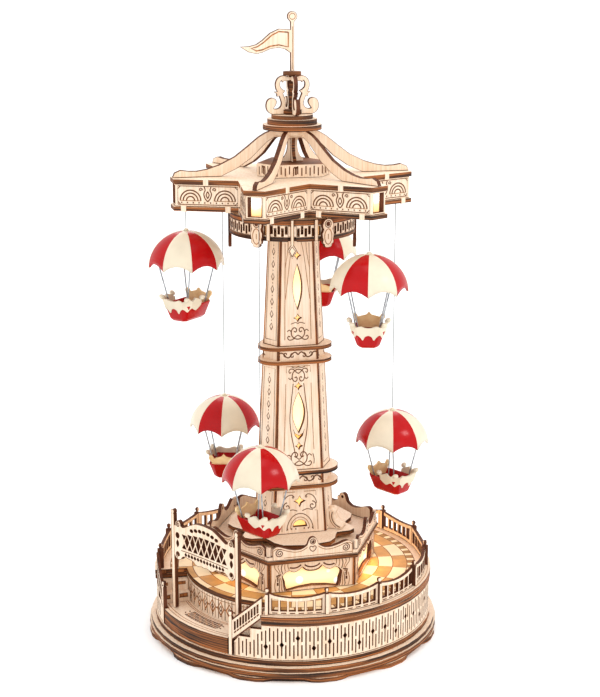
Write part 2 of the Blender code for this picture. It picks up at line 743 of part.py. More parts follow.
def make_gallery():
    """The lookout ring under the star: a floor, a panelled wall with pendants and shields, and a roof."""
    quarter = (0.0, 90.0, 180.0, 270.0)
    shields = (-31.5, 31.5, 148.5, 211.5)
    floor = level_sheet(circle(GALLERY_RADIUS, 36), GALLERY_FLOOR, [column_hexagon(column_radius(246.0) + 0.4)])
    made = make_object("gallery_floor", floor)
    notches = []
    for turn in quarter:
        notch = sheet(rectangle(-2.4, GALLERY_FLOOR[0] - 1.0, 2.4, GALLERY_FLOOR[1] + 1.0), [], 5.0)
        notches.append(stand(notch, GALLERY_TURN + turn, GALLERY_RADIUS + 2.4))
    boolean(made, merged(notches), "DIFFERENCE")
    path = arc(PANEL_OUTER, GALLERY_TURN, GALLERY_TURN + 360.0, 24)[:-1]
    total = path_length(path, True)
    holes = []
    low, high = GALLERY_PANEL
    for turn in shields:
        for side in (-1.0, 1.0):
            middle = (turn % 360.0 + side * 7.6) / 360.0 * total
            holes.append(rectangle(middle - 0.8, low + 1.0, middle + 0.8, high - 1.0))
    outline = rectangle(0.0, low, total, high)
    ring = wrap(sheet(outline, holes, PANEL_THICKNESS), path, PANEL_THICKNESS, closed=True)
    made = make_object("gallery_panels", ring)
    extras = []
    for turn in quarter:
        pendant = [(-2.0, low + 1.0), (-2.0, 245.0), (-0.7, 244.0), (-2.6, 240.6), (0.0, 236.2), (2.6, 240.6)]
        pendant += [(0.7, 244.0), (2.0, 245.0), (2.0, low + 1.0)]
        extras.append(stand(sheet(pendant, [], 1.4), GALLERY_TURN + turn, PANEL_OUTER - 0.1))
    for turn in shields:
        azimuth = GALLERY_TURN + turn
        extras.append(stand(sheet(cartouche_outline(), [], 1.7), azimuth, 38.9))
        block = sheet(rectangle(-2.0, low + 1.0, 2.0, high - 1.0), [], 2.2)
        extras.append(stand(block, azimuth, 37.6))
    for extra in extras:
        boolean(made, extra, "UNION")
    hole = column_hexagon(column_radius(256.0) + 0.4)
    roof = level_sheet(circle(GALLERY_RADIUS, 36), GALLERY_ROOF, [hole])
    made = make_object("gallery_roof", roof)
    spacer = level_sheet(circle(22.0, 24), (GALLERY_ROOF[1] - 0.5, STAR_FLOOR[0] - GAP), [hole])
    boolean(made, spacer, "UNION")


def make_star():
    """The star roof: two plates with a wall between them, windowed at the six tips."""
    outline = star(TIP_RADIUS, TIP_HALF_WIDTH, NOTCH_RADIUS)
    make_object("star_floor", level_sheet(outline, STAR_FLOOR))
    make_object("star_roof_plate", level_sheet(outline, STAR_ROOF))
    path = offset_corners(outline, STAR_WALL_SETBACK, True)
    low, high = STAR_WALL
    windows = []
    place = 0.0
    corners = [Vector(point) for point in path + path[:1]]
    for i in range(len(path)):
        length = (corners[i + 1] - corners[i]).length
        if i % 3 == 0:
            windows.append(rectangle(place + 1.2, low + 0.8, place + length - 1.2, high - 0.8))
        place += length
    wall = sheet(rectangle(0.0, low, place, high), windows, STAR_WALL_THICKNESS)
    make_object("star_walls", wrap(wall, path, STAR_WALL_THICKNESS, closed=True))
    film_path = offset_corners(path, STAR_WALL_THICKNESS + GAP, True)
    film = sheet(rectangle(0.0, low, path_length(film_path, True), high), [], LINER_THICKNESS)
    film = wrap(film, film_path, LINER_THICKNESS, closed=True)
    make_object("star_window_film", film, "frosted_film")


def make_roof():
    """What stands on the star: the drum, six sweeping ribs, the pedestal, the crown and the flag."""
    make_object("roof_drum", level_sheet(column_hexagon(22.0), DRUM))
    foot = STAR_ROOF[1] + GAP
    rib = [(0.0, 304.8), (12.0, 304.8), (16.3, 303.1), (20.0, 300.9), (26.5, 295.7), (34.0, 290.0)]
    rib += [(43.0, 285.6), (50.0, 283.4), (56.0, 282.4), (61.0, 282.5), (65.5, 283.2), (69.0, 281.8)]
    rib += [(70.2, foot), (42.0, foot), (33.0, 283.4), (24.5, 289.2), (15.5, 298.0), (11.0, 300.8), (0.0, 300.8)]
    rib_thickness = 2.4
    hub = lathe([(8.0, 300.8), (11.0, 302.6), (11.0, 304.8)], 24)
    ribs = make_object("roof_ribs", hub)
    for azimuth in ARM_AZIMUTHS:
        blade = sheet([(max(x, 3.0), z) for x, z in rib], [], rib_thickness)
        bmesh.ops.translate(blade, vec=(0.0, 0.0, -rib_thickness / 2), verts=blade.verts)
        boolean(ribs, stand(blade, azimuth - 90.0), "UNION")
    low, high = PEDESTAL
    flare = [(0.0, low), (6.4, low), (6.4, 288.0), (4.6, 289.6), (3.4, 292.0), (2.8, 295.0), (2.8, 298.4)]
    flare += [(3.4, 299.2), (3.4, high)]
    outline = flare + [(-x, z) for x, z in reversed(flare[1:])]
    plates = []
    for turn in (0.0, 90.0):
        plate = sheet(outline, [], 2.0)
        bmesh.ops.translate(plate, vec=(0.0, 0.0, -1.0), verts=plate.verts)
        plates.append(stand(plate, turn))
    pedestal = make_object("roof_pedestal", plates[0])
    boolean(pedestal, plates[1], "UNION")
    low, high = CROWN
    steps = [(17.0, low), (17.0, 308.0), (14.4, 308.0), (14.4, 311.2), (12.0, 311.2), (12.0, high)]
    make_object("crown_discs", lathe(steps, 24))


def ribbon(path, width):
    """The outline of a band that follows a line of points."""
    left, right = [], []
    for i, point in enumerate(path):
        before = Vector(path[max(i - 1, 0)])
        after = Vector(path[min(i + 1, len(path) - 1)])
        along = (after - before).normalized()
        side = Vector((-along.y, along.x)) * width / 2.0
        left.append(tuple(Vector(point) + side))
        right.append(tuple(Vector(point) - side))
    return left + right[::-1]


def make_finial():
    """Two crossed scroll plates round a post, under a small round collar."""
    thickness = 2.2
    base = CROWN[1] + GAP
    scroll = [(0.9, 331.4)] + ring_arc((6.2, 330.6), 2.9, 150.0, -40.0, 5)
    scroll += ring_arc((10.4, 319.4), 4.3, 140.0, 440.0, 8)
    outline = ribbon(scroll, 2.2)
    post = [(2.1, base), (2.1, base + 2.5), (1.5, base + 3.0), (1.5, 335.5), (5.0, 335.5), (5.0, 337.8)]
    made = make_object("scroll_finial", lathe(post, 8))
    for turn in (0.0, 90.0):
        for mirror in (1.0, -1.0):
            band = sheet([(mirror * x, z) for x, z in outline], [], thickness)
            bmesh.ops.translate(band, vec=(0.0, 0.0, -thickness / 2), verts=band.verts)
            bmesh.ops.recalc_face_normals(band, faces=band.faces)
            boolean(made, stand(band, turn), "UNION")


def make_flag():
    """A pole with a ball and a waving pennant, cut from one sheet."""
    thickness = 1.8
    low = 338.1
    half = 0.9
    right = [(-half, low), (half, low), (half, 363.6)]
    ball = ring_arc((0.0, 367.7 + 0.9), 2.7, -60.0, 240.0, 10)
    flag = [(-half, 361.2), (-7.9, 361.6), (-12.9, 359.3), (-17.4, 355.4), (-20.8, 353.1), (-24.8, 352.1)]
    flag += [(-30.0, 351.9), (-25.3, 349.0), (-20.8, 348.0), (-17.4, 348.8), (-12.9, 350.7), (-7.9, 351.4)]
    flag += [(-4.0, 350.4), (-half, 348.3)]
    outline = right + [(half, 365.4)] + ball + [(-half, 365.4)] + flag
    bm = sheet(outline, [], thickness)
    bmesh.ops.translate(bm, vec=(0.0, 0.0, -thickness / 2), verts=bm.verts)
    make_object("flag_pole", stand(bm, 0.0))


def canopy_point(turn, share, shrink):
    """A point of the canopy: turn round it in degrees, share from apex (0) to rim (1)."""
    gore = 360.0 / GORES
    across = abs((turn % gore) / gore * 2.0 - 1.0)
    bulge = 1.0 - across * across
    sweep = share * math.pi / 2.0
    radius = CANOPY_RADIUS * math.sin(sweep) * (1.0 - 0.05 * bulge * share)
    drop = CANOPY_HEIGHT * (1.0 - math.cos(sweep)) * (1.0 - 0.16 * bulge * share ** 3)
    inward = 1.0 - shrink / CANOPY_RADIUS
    x, y = polar(radius * inward, turn)
    return Vector((x, y, -drop - shrink * (1.0 - share)))


def canopy_shell():
    """A scalloped dome, one sheet thick and open below."""
    turns = GORES * 3
    bm = bmesh.new()
    layers = []
    for shrink, shares in ((0.0, (0.0, 0.27, 0.53, 0.78, 1.0)), (CANOPY_WALL, (0.0, 0.5, 1.0))):
        layer = [[bm.verts.new(canopy_point(0.0, 0.0, shrink))]]
        for share in shares[1:]:
            ring = [bm.verts.new(canopy_point(360.0 * i / turns, share, shrink)) for i in range(turns)]
            layer.append(ring)
        layers.append(layer)
    for layer in layers:
        for i in range(turns):
            j = (i + 1) % turns
            bm.faces.new((layer[0][0], layer[1][i], layer[1][j]))
            for ring, below in zip(layer[1:], layer[2:]):
                bm.faces.new((ring[i], below[i], below[j], ring[j]))
    outer_rim, inner_rim = layers[0][-1], layers[1][-1]
    for i in range(turns):
        j = (i + 1) % turns
        bm.faces.new((outer_rim[i], outer_rim[j], inner_rim[j], inner_rim[i]))
    bmesh.ops.recalc_face_normals(bm, faces=bm.faces)
    return bm


def tub_loop(half_length, half_width, cut, level):
    x, y = half_width, half_length
    corners = [(x - cut, -y), (x, -y + cut), (x, y - cut), (x - cut, y)]
    corners += [(-x + cut, y), (-x, y - cut), (-x, -y + cut), (-x + cut, -y)]
    return [Vector((a, b, level)) for a, b in corners]


def basket_tub(floor):
    """A tapered tub, open at the top, long side along Y."""
    top = floor + BASKET_HEIGHT
    loops = [
        tub_loop(9.0, 4.2, 1.6, floor),
        tub_loop(10.6, 6.2, 2.2, floor + 1.6),
        tub_loop(13.0, 9.4, 3.0, top),
        tub_loop(11.9, 8.3, 2.6, top),
        tub_loop(9.6, 5.2, 1.8, floor + 1.8),
    ]
    bm = bmesh.new()
    rings = [[bm.verts.new(point) for point in loop] for loop in loops]
    for low, high in zip(rings, rings[1:]):
        for i in range(len(low)):
            j = (i + 1) % len(low)
            bm.faces.new((low[i], low[j], high[j], high[i]))
    bm.faces.new(rings[0])
    bm.faces.new(rings[-1])
    bmesh.ops.recalc_face_normals(bm, faces=bm.faces)
    return bm


def rod(start, end, radius, sides=4):
    bm = lathe([(radius, 0.0), (radius, (end - start).length)], sides)
    turn = (end - start).to_track_quat("Z", "Y").to_matrix().to_4x4()
    bmesh.ops.transform(bm, matrix=Matrix.Translation(start) @ turn, verts=bm.verts)
    return bm


def front_collar(top):
    """The guard round the front end of the tub. Its lower edge hangs over the rim in points."""
    path = [(-10.0, 0.0), (-10.0, -8.5), (-6.5, -13.6), (6.5, -13.6), (10.0, -8.5), (10.0, 0.0)]
    middle = path_length(path, False) / 2.0
    drips = [(middle, -0.6), (17.0, -3.0), (12.7, -1.2), (9.6, -3.6), (6.4, -1.6), (3.4, -4.8), (0.0, -1.8)]
    crest = [(0.0, 2.4), (4.0, 3.4), (7.0, 2.6), (9.8, 5.0), (12.7, 2.8), (16.0, 4.4), (middle, 2.0)]
    lower = [(-x, z) for x, z in drips] + [(x, z) for x, z in reversed(drips[:-1])]
    upper = [(x, z) for x, z in reversed(crest)] + [(-x, z) for x, z in crest[1:]]
    outline = [(middle + x, top + z) for x, z in lower + upper]
    return wrap(sheet(outline, [], 1.3), path, 1.3)


def rear_plate(top):
    """An upright plate inside the rear end, with a knob at each corner and a crest between them."""
    half = [(0.0, 6.4), (1.6, 4.6), (4.0, 4.0), (6.2, 3.4), (7.6, 5.4), (9.0, 5.0), (9.2, 3.2), (7.6, 1.4), (6.2, -2.4)]
    outline = [(x, top + z) for x, z in half] + [(-x, top + z) for x, z in reversed(half[1:])]
    return stand(sheet(outline, [], 1.2), 180.0, 11.6)


def make_parachute(name, azimuth, apex, facing):
    x, y = polar(STRING_RADIUS, azimuth)
    turned = Matrix.Translation((x, y, apex)) @ Matrix.Rotation(math.radians(facing), 4, "Z")
    canopy = canopy_shell()
    bmesh.ops.transform(canopy, matrix=turned, verts=canopy.verts)
    made = make_object(f"{name}_canopy", canopy, "red_plastic", (x, y, apex))
    knob_top = apex + 1.3
    knob = lathe([(0.9, apex - 0.6), (1.5, apex + 0.4), (0.9, knob_top)], 8, (x, y))
    boolean(made, knob, "UNION")
    floor = -BASKET_DROP
    top = floor + BASKET_HEIGHT
    tub = basket_tub(floor)
    bmesh.ops.transform(tub, matrix=turned, verts=tub.verts)
    basket = make_object(f"{name}_basket", tub, "red_plastic", (x, y, apex + floor))
    for guard in (front_collar(top), rear_plate(top)):
        bmesh.ops.transform(guard, matrix=turned, verts=guard.verts)
        boolean(basket, guard, "UNION")
    rods = []
    for side in (-1.0, 1.0):
        for end in (-1.0, 1.0):
            foot = Vector((side * 4.7, end * 7.3, floor + 1.2))
            head = Vector((side * 12.5, end * 12.5, -14.1))
            rods.append(rod(foot, head, ROD_RADIUS))
    rods = merged(rods)
    bmesh.ops.transform(rods, matrix=turned, verts=rods.verts)
    boolean(basket, rods, "UNION")
    cord = lathe([(CORD_RADIUS, knob_top + GAP), (CORD_RADIUS, STAR_FLOOR[0] - GAP)], 6, (x, y))
    make_object(f"{name}_cord", cord, "cord_white", (x, y, apex))


def main():
    clear_scene()
    make_base()
    make_skirt()
    make_deck()
    make_entry()
    make_stair_rails()
    make_sign()
    make_balustrades()
    make_booth()
    make_column()
    make_gallery()
    make_star()
    make_roof()
    make_finial()
    make_flag()
    for name, (azimuth, apex, facing) in PARACHUTES.items():
        make_parachute(name, azimuth, apex, facing)


main()
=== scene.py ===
"""Parachute drop tower, dressed: laser-cut plywood with burnt edges and engraved lines, moulded parachutes
and warm light in the windows.

Sizes in the functions are millimetres, and put() turns each finished mesh into metres. Azimuths are in
degrees, counted from -Y, the front, towards +X.
"""

import bisect
import math

import bmesh
import bpy
from bpy.props import FloatProperty, FloatVectorProperty, PointerProperty
from mathutils import Matrix, Vector


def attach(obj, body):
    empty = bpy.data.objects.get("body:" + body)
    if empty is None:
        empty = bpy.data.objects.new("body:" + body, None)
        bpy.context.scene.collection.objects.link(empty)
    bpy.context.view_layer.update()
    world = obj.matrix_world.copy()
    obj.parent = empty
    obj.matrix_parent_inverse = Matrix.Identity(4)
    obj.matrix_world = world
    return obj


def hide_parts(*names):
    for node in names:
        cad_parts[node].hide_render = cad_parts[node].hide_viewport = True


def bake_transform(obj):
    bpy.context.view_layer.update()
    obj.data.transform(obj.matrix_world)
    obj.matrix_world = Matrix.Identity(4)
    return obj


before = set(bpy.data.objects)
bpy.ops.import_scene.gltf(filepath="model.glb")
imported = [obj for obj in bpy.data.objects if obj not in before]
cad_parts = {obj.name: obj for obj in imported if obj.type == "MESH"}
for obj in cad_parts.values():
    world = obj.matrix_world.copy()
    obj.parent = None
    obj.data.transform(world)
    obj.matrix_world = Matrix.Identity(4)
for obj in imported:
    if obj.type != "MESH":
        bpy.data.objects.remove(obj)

bl_info = {
    "name": "Parachute Drop Tower",
    "version": (1, 0, 0),
    "blender": (4, 5, 0),
    "location": "3D View > Sidebar > Drop Tower",
    "description": "Dresses a plywood parachute drop tower with materials, engraving, parachutes and light",
    "category": "Object",
}

MM = 0.001
# An engraved line is this much wider than stated. Lines, corner strips and rims lie just off the sheet, each
# at its own height, so that none of them share a plane.
LASER_SPREAD = 0.14
LINE_LIFT = 0.06
STRIP_LIFT = 0.05
RIM_LIFT = 0.8 * LINE_LIFT
RIM_WIDTH = 0.1
# Material slots of a plywood piece, in the order of PLY.
FACE, EDGE, BURN, FINE, TOAST, LAYERS = 0, 1, 2, 3, 4, 5
PLY = ("plywood_face", "scorched_edge", "engraving", "fine_engraving", "toasted_edge", "layered_edge")
# Strength and depth in metres of the wood's grain.
GRAIN_RELIEF = (0.25, 0.00005)
# How squarely a solid's face looks outwards or upwards before it shows a sheet's face, not its cut edge.
SQUARE_ON = 0.6

# Levels of the stack, from the floor up.
SKIRT = (12.2, 33.0)
DECK_TOP = 38.8
LANDING_TOP = 22.0
BOOTH_WALL = (39.1, 56.7)
LEDGE_TOP = 59.4
LOWER_STOREY = (64.8, 92.4)
LOWER_BAND = (92.7, 103.9)
MIDDLE_STOREY = (104.2, 168.7)
UPPER_BAND = (169.0, 179.6)
UPPER_STOREY = (179.9, 260.7)
GALLERY_PANEL = (248.1, 254.9)
STAR_FLOOR = (261.0, 263.4)
STAR_WALL = (263.7, 276.1)
STAR_ROOF = (276.4, 279.0)
DRUM = (279.3, 286.5)
CROWN_TOP = 313.5

SKIRT_RADIUS = 84.0
SKIRT_THICKNESS = 1.8
ENTRY_START = -93.6
ENTRY_END = -25.4
ENTRY_MIDDLE = (ENTRY_START + ENTRY_END) / 2
FLIGHT_FOOT = 24.9
NEWEL_TURN = 21.2
NEWEL_RADIUS = 83.2
NEWEL_TOP = 39.3
STEP_COUNT = 2
TREAD_THICKNESS = 2.7
ENTRY_WALL_RADIUS = 65.6
ENTRY_WALL_THICKNESS = 1.4
SIGN_TURN = 1.3
SIGN_HALF_ANGLE = 20.8
SIGN_RADIUS = 78.0
SIGN_THICKNESS = 2.4
POST_RADIUS = 80.7
POST_STEP = 24.0
POST_COUNT = 13
BAYS_PER_PIECE = 3
RAIL_OUTER = 81.6
RAIL_THICKNESS = 1.8
POST_TOP = 55.0
RAIL_LOW = 39.1
RAIL_MIDDLE = 49.2
RAIL_RISE = 2.3
OPENINGS_PER_BAY = 6
BAY_MARGIN = 1.4
BAR_HALF_ANGLE = 0.4
BOOTH_TURN = 1.5
BOOTH_APOTHEM = 45.6
BOOTH_THICKNESS = 2.2
FASCIA_APOTHEM = 47.0
WIDE_HALF_ANGLE = 39.5
NARROW_HALF_ANGLE = 60.0 - WIDE_HALF_ANGLE
WIDE_FACES = (0.0, 120.0, 240.0)
COLUMN_TAPER = ((64.8, 25.5), (92.4, 23.4), (104.2, 22.7), (168.7, 19.35), (179.9, 18.75), (260.7, 14.5))
COLUMN_THICKNESS = 2.0
GALLERY_TURN = -13.15
PANEL_OUTER = 36.5
PANEL_THICKNESS = 1.6
ARM_AZIMUTHS = [-30.0 + 60.0 * arm for arm in range(6)]
TIP_RADIUS = 70.6
TIP_HALF_WIDTH = 6.1
NOTCH_RADIUS = 41.8
STAR_WALL_SETBACK = 1.2
STAR_WALL_THICKNESS = 2.2
STRING_RADIUS = 62.9
CANOPY_RADIUS = 22.0
CANOPY_HEIGHT = 21.0
CANOPY_WALL = 1.0
GORES = 8
BASKET_DROP = 52.0
BASKET_HEIGHT = 10.0
ROD_RADIUS = 0.42
THREAD_RADIUS = 0.22
COLLAR_LEAN = 0.022
# Material slots of a parachute, in the order of SHELLS.
RED, CREAM, STEEL, SHADED_CREAM = 0, 1, 2, 3
SHELLS = ("red_shell", "cream_shell", "steel_rod", "tan_shell")
# Azimuth, height of the apex, way that the basket's front faces, and whether the first gore is red.
PARACHUTES = {
    "left": (-90.0, 248.4, -46.6, False),
    "front_left": (-30.0, 132.2, 33.1, False),
    "front_right": (30.0, 240.5, -16.6, False),
    "right": (90.0, 132.0, 29.3, False),
    "rear_right": (150.0, 240.5, 161.0, True),
    "rear_left": (210.0, 132.4, 164.2, False),
}

# Slots of the skirt, in degrees and by level.
SLOT_PITCH = 1.57
SLOT_HALF_ANGLE = 0.19
SLOT_MARGIN = 1.3
SLOT_FOOT = 14.8
SLOT_HEAD = 30.0

# Paving of the deck. Grout and mortar are shares of a tile and of a brick.
TILE_RIM = 70.6
TILE_DEPTH = 8.75
TILES_PER_RING = 22.0
TILE_PHASE = 0.35
TILE_PITCH_LENGTH = 2.0
GROUT_SHARE = 0.028
BRICKS_PER_RING = 116.0
BRICK_RIM = 75.3
MORTAR_SHARE = 0.07
EDGE_LINE = 83.3
PAVING_LINE = 0.2

# Light in the windows. The shares belong to the booth's six lamps, from the front window on towards +X.
LAMP_LEVEL = 46.5
LAMP_SPREAD = 7.5
LAMP_SHARES = (0.35, 1.7, 1.6, 0.8, 0.5, 0.5)
BOOTH_GLOW = 0.5
STAR_GLOW = 0.95
COLUMN_GLOW = 0.8
# Middle and half height of the column's tall windows, whose film is paler.
LENS_LEVELS = ((139.3, 13.6), (214.7, 14.6))

# Stage, in metres, watts and degrees. A studio lamp is its name, place, size and power.
STUDIO_LAMPS = (
    ("key", (1.1, -1.15, 1.5), 0.5, 6.4),
    ("fill", (-1.3, -0.8, 0.7), 1.2, 1.2),
    ("back", (0.3, 1.4, 1.4), 1.0, 5.0),
    ("front", (0.25, -1.5, 0.12), 0.9, 1.3),
    ("top", (0.0, -0.2, 1.8), 0.8, 2.0),
)
LIT_POINT = (0.0, 0.0, 0.18)
BOOTH_LAMP_SIZE = (0.034, 0.010)
CAMERA_PLACE = (-0.2034, -0.8706, 0.401)
CAMERA_TILT = 75.78
CAMERA_TURN = -13.44


# Plane geometry.


def polar(radius, azimuth):
    angle = math.radians(azimuth)
    return (radius * math.sin(angle), -radius * math.cos(angle))


def arc(radius, start, end, steps):
    return [polar(radius, start + (end - start) * i / steps) for i in range(steps + 1)]


def arc_path(radius, start, end, step):
    return arc(radius, start, end, max(1, round((end - start) / step)))


def ring_arc(centre, radius, start, end, steps, inner=None):
    """Points on an arc, or on a spiral where an inner radius is given. Angles count from +X."""
    points = []
    for i in range(steps + 1):
        share = i / steps
        angle = math.radians(start + (end - start) * share)
        reach = radius if inner is None else radius + (inner - radius) * share
        points.append((centre[0] + reach * math.cos(angle), centre[1] + reach * math.sin(angle)))
    return points


def rectangle(left, low, right, high):
    return [(left, low), (right, low), (right, high), (left, high)]


def four_point_star(centre, half_width, half_height, waist=0.45):
    points = []
    for i in range(8):
        angle = math.radians(45.0 * i)
        reach = (1.0, waist)[i % 2]
        x = centre[0] + half_width * reach * math.cos(angle)
        z = centre[1] + half_height * reach * math.sin(angle)
        points.append((x, z))
    return points


def lens(middle, low, high, half_width, steps=12):
    side = [math.sin(math.pi * i / steps) * half_width for i in range(steps + 1)]
    level = [low + (high - low) * i / steps for i in range(steps + 1)]
    right = [(middle + x, z) for x, z in zip(side, level)]
    left = [(middle - x, z) for x, z in zip(side[-2:0:-1], level[-2:0:-1])]
    return right + left


def hexagon(apothem, turn):
    corner = apothem / math.cos(math.radians(30.0))
    return [polar(corner, turn - 30.0 + 60.0 * i) for i in range(6)]


def column_hexagon(corner_radius):
    corners = []
    for face in WIDE_FACES:
        corners.append(polar(corner_radius, face - WIDE_HALF_ANGLE))
        corners.append(polar(corner_radius, face + WIDE_HALF_ANGLE))
    return corners


def column_radius(level):
    levels = [entry[0] for entry in COLUMN_TAPER]
    at = min(max(bisect.bisect_right(levels, level), 1), len(levels) - 1)
    (low, low_radius), (high, high_radius) = COLUMN_TAPER[at - 1], COLUMN_TAPER[at]
    return low_radius + (high_radius - low_radius) * (level - low) / (high - low)


def star(tip_radius, tip_half_width, notch_radius):
    points = []
    for azimuth in ARM_AZIMUTHS:
        lean = math.degrees(math.atan2(tip_half_width, tip_radius))
        corner = math.hypot(tip_radius, tip_half_width)
        points.append(polar(corner, azimuth - lean))
        points.append(polar(corner, azimuth + lean))
        points.append(polar(notch_radius, azimuth + 30.0))
    return points


def offset_corners(path, depth, closed):
    inner = []
    for i, corner in enumerate(path):
        normals = []
        for a, b in ((i - 1, i), (i, i + 1)):
            if closed or (a >= 0 and b < len(path)):
                start = Vector(path[a % len(path)])
                along = (Vector(path[b % len(path)]) - start).normalized()
                normals.append(Vector((-along.y, along.x)))
        if len(normals) == 2:
            shift = (normals[0] + normals[1]) / (1.0 + normals[0].dot(normals[1]))
        else:
            shift = normals[0]
        inner.append(tuple(Vector(corner) + shift * depth))
    return inner


def path_length(path, closed):
    points = [Vector(point) for point in path]
    if closed:
        points.append(points[0])
    return sum((b - a).length for a, b in zip(points, points[1:]))


def ribbon(path, width):
    """The outline of a band that follows a line of points."""
    left, right = [], []
    for i, point in enumerate(path):
        before = Vector(path[max(i - 1, 0)])
        after = Vector(path[min(i + 1, len(path) - 1)])
        along = (after - before).normalized()
        side = Vector((-along.y, along.x)) * width / 2.0
        left.append(tuple(Vector(point) + side))
        right.append(tuple(Vector(point) - side))
    return left + right[::-1]


# Engraved lines: each stroke is its points, its width and sometimes its tone.


def both(strokes):
    """The strokes and their mirror image in X."""
    return strokes + [([(-x, z) for x, z in points], *rest) for points, *rest in strokes]


def moved(strokes, x, z):
    return [([(x + a, z + b) for a, b in points], *rest) for points, *rest in strokes]


def frame_line(left, low, right, high, width):
    return [(rectangle(left, low, right, high) + [(left, low)], width)]


def smooth(points, steps=4):
    """A smooth line through the points."""
    ends = [points[0], *points, points[-1]]
    line = []
    for i in range(1, len(ends) - 2):
        a, b, c, d = (Vector(ends[i + k]) for k in (-1, 0, 1, 2))
        for k in range(steps):
            t = k / steps
            bend = (2 * a - 5 * b + 4 * c - d) * t**2
            twist = (3 * b - a - 3 * c + d) * t**3
            line.append(tuple(0.5 * (2 * b + (c - a) * t + bend + twist)))
    return line + [points[-1]]


def curved(strokes):
    """The strokes, each smooth where it has more than two points."""
    return [(smooth(points) if len(points) > 2 else points, *rest) for points, *rest in strokes]


def dots(places, size):
    return [([(x - size / 2, z), (x + size / 2, z)], size) for x, z in places]


def scroll(centre, radius, start, turn, width=0.4):
    """A spiral that winds in by that many degrees."""
    return [(ring_arc(centre, radius, start, start + turn, 18, radius * 0.18), width)]


# Sheets of plywood.


def sheet(outline, holes, depth, strokes=()):
    """A flat laser-cut sheet, with burnt edges, and strokes engraved on its outer side."""
    bm = bmesh.new()
    edges = []
    for loop in (outline, *holes):
        verts = [bm.verts.new((x, y, 0.0)) for x, y in loop]
        for i, vert in enumerate(verts):
            edges.append(bm.edges.new((vert, verts[(i + 1) % len(verts)])))
    bmesh.ops.triangle_fill(bm, use_beauty=True, use_dissolve=False, edges=edges)
    grown = bmesh.ops.extrude_face_region(bm, geom=bm.faces[:])["geom"]
    lifted = [item for item in grown if isinstance(item, bmesh.types.BMVert)]
    bmesh.ops.translate(bm, vec=(0.0, 0.0, depth), verts=lifted)
    bmesh.ops.recalc_face_normals(bm, faces=bm.faces)
    for face in bm.faces:
        face.material_index = FACE if abs(face.normal.z) > 0.5 else EDGE
    rims = [([*loop, loop[0]], RIM_WIDTH) for loop in (outline, *holes)]
    engrave(bm, rims, -RIM_LIFT)
    engrave(bm, rims, depth + RIM_LIFT)
    engrave(bm, strokes, -LINE_LIFT)
    return bm


def engrave(bm, strokes, level):
    """Lays each stroke down as a strip of faces, in its own tone or else as a burnt line."""
    for points, width, *tone in strokes:
        sides = ribbon(points, width + LASER_SPREAD)
        count = len(points)
        left = [bm.verts.new((x, y, level)) for x, y in sides[:count]]
        right = [bm.verts.new((x, y, level)) for x, y in sides[count:][::-1]]
        for i in range(count - 1):
            face = bm.faces.new((left[i], left[i + 1], right[i + 1], right[i]))
            face.material_index = tone[0] if tone else BURN


def centred(bm, thickness):
    """Moves a flat sheet so that its middle lies in its plane."""
    bmesh.ops.translate(bm, vec=(0.0, 0.0, -thickness / 2), verts=bm.verts)
    return bm


def stand(bm, azimuth, radius=0.0):
    """Stands a sheet up: X runs along the tower's side, Y goes up and the thickness goes inwards."""
    upright = Matrix(((1, 0, 0, 0), (0, 0, 1, -radius), (0, 1, 0, 0), (0, 0, 0, 1)))
    turn = Matrix.Rotation(math.radians(azimuth), 4, "Z")
    bmesh.ops.transform(bm, matrix=turn @ upright, verts=bm.verts)
    return bm


def wrap(bm, path, thickness, closed=False, inner_path=None):
    """Folds a sheet round a path: X runs along the path, Y goes up and the thickness goes inwards."""
    outer = [Vector(point) for point in path]
    inner = [Vector(point) for point in inner_path or offset_corners(path, thickness, closed)]
    if closed:
        outer.append(outer[0])
        inner.append(inner[0])
    along = [0.0]
    for i in range(len(outer) - 1):
        along.append(along[-1] + (outer[i + 1] - outer[i]).length)
    for place in along[1:-1]:
        everything = bm.verts[:] + bm.edges[:] + bm.faces[:]
        bmesh.ops.bisect_plane(bm, geom=everything, dist=1e-5, plane_co=(place, 0, 0), plane_no=(1, 0, 0))
    if closed:
        near = 1e-4
        ends = []
        for face in bm.faces:
            places = [vert.co.x for vert in face.verts]
            if max(places) < near or min(places) > along[-1] - near:
                ends.append(face)
        bmesh.ops.delete(bm, geom=ends, context="FACES_ONLY")
    for vert in bm.verts:
        u, up, depth = vert.co
        i = min(max(bisect.bisect_right(along, u) - 1, 0), len(along) - 2)
        share = (u - along[i]) / (along[i + 1] - along[i])
        front = outer[i].lerp(outer[i + 1], share)
        back = inner[i].lerp(inner[i + 1], share)
        point = front.lerp(back, depth / thickness)
        vert.co = (point.x, point.y, up)
    if closed:
        bmesh.ops.remove_doubles(bm, verts=bm.verts, dist=1e-3)
    return bm


def bent_sheet(outline, holes, outer_radius, thickness, start, end, strokes=(), step=3.0):
    """A sheet bent to a round of the tower. X is degrees of azimuth, and a stroke's width is millimetres."""
    path = arc_path(outer_radius, start, end, step)
    per_degree = path_length(path, False) / (end - start)

    def along(loop):
        return [((azimuth - start) * per_degree, level) for azimuth, level in loop]

    lines = [(along(points), *rest) for points, *rest in strokes]
    bm = sheet(along(outline), [along(hole) for hole in holes], thickness, lines)
    return wrap(bm, path, thickness, inner_path=arc_path(outer_radius - thickness, start, end, step))


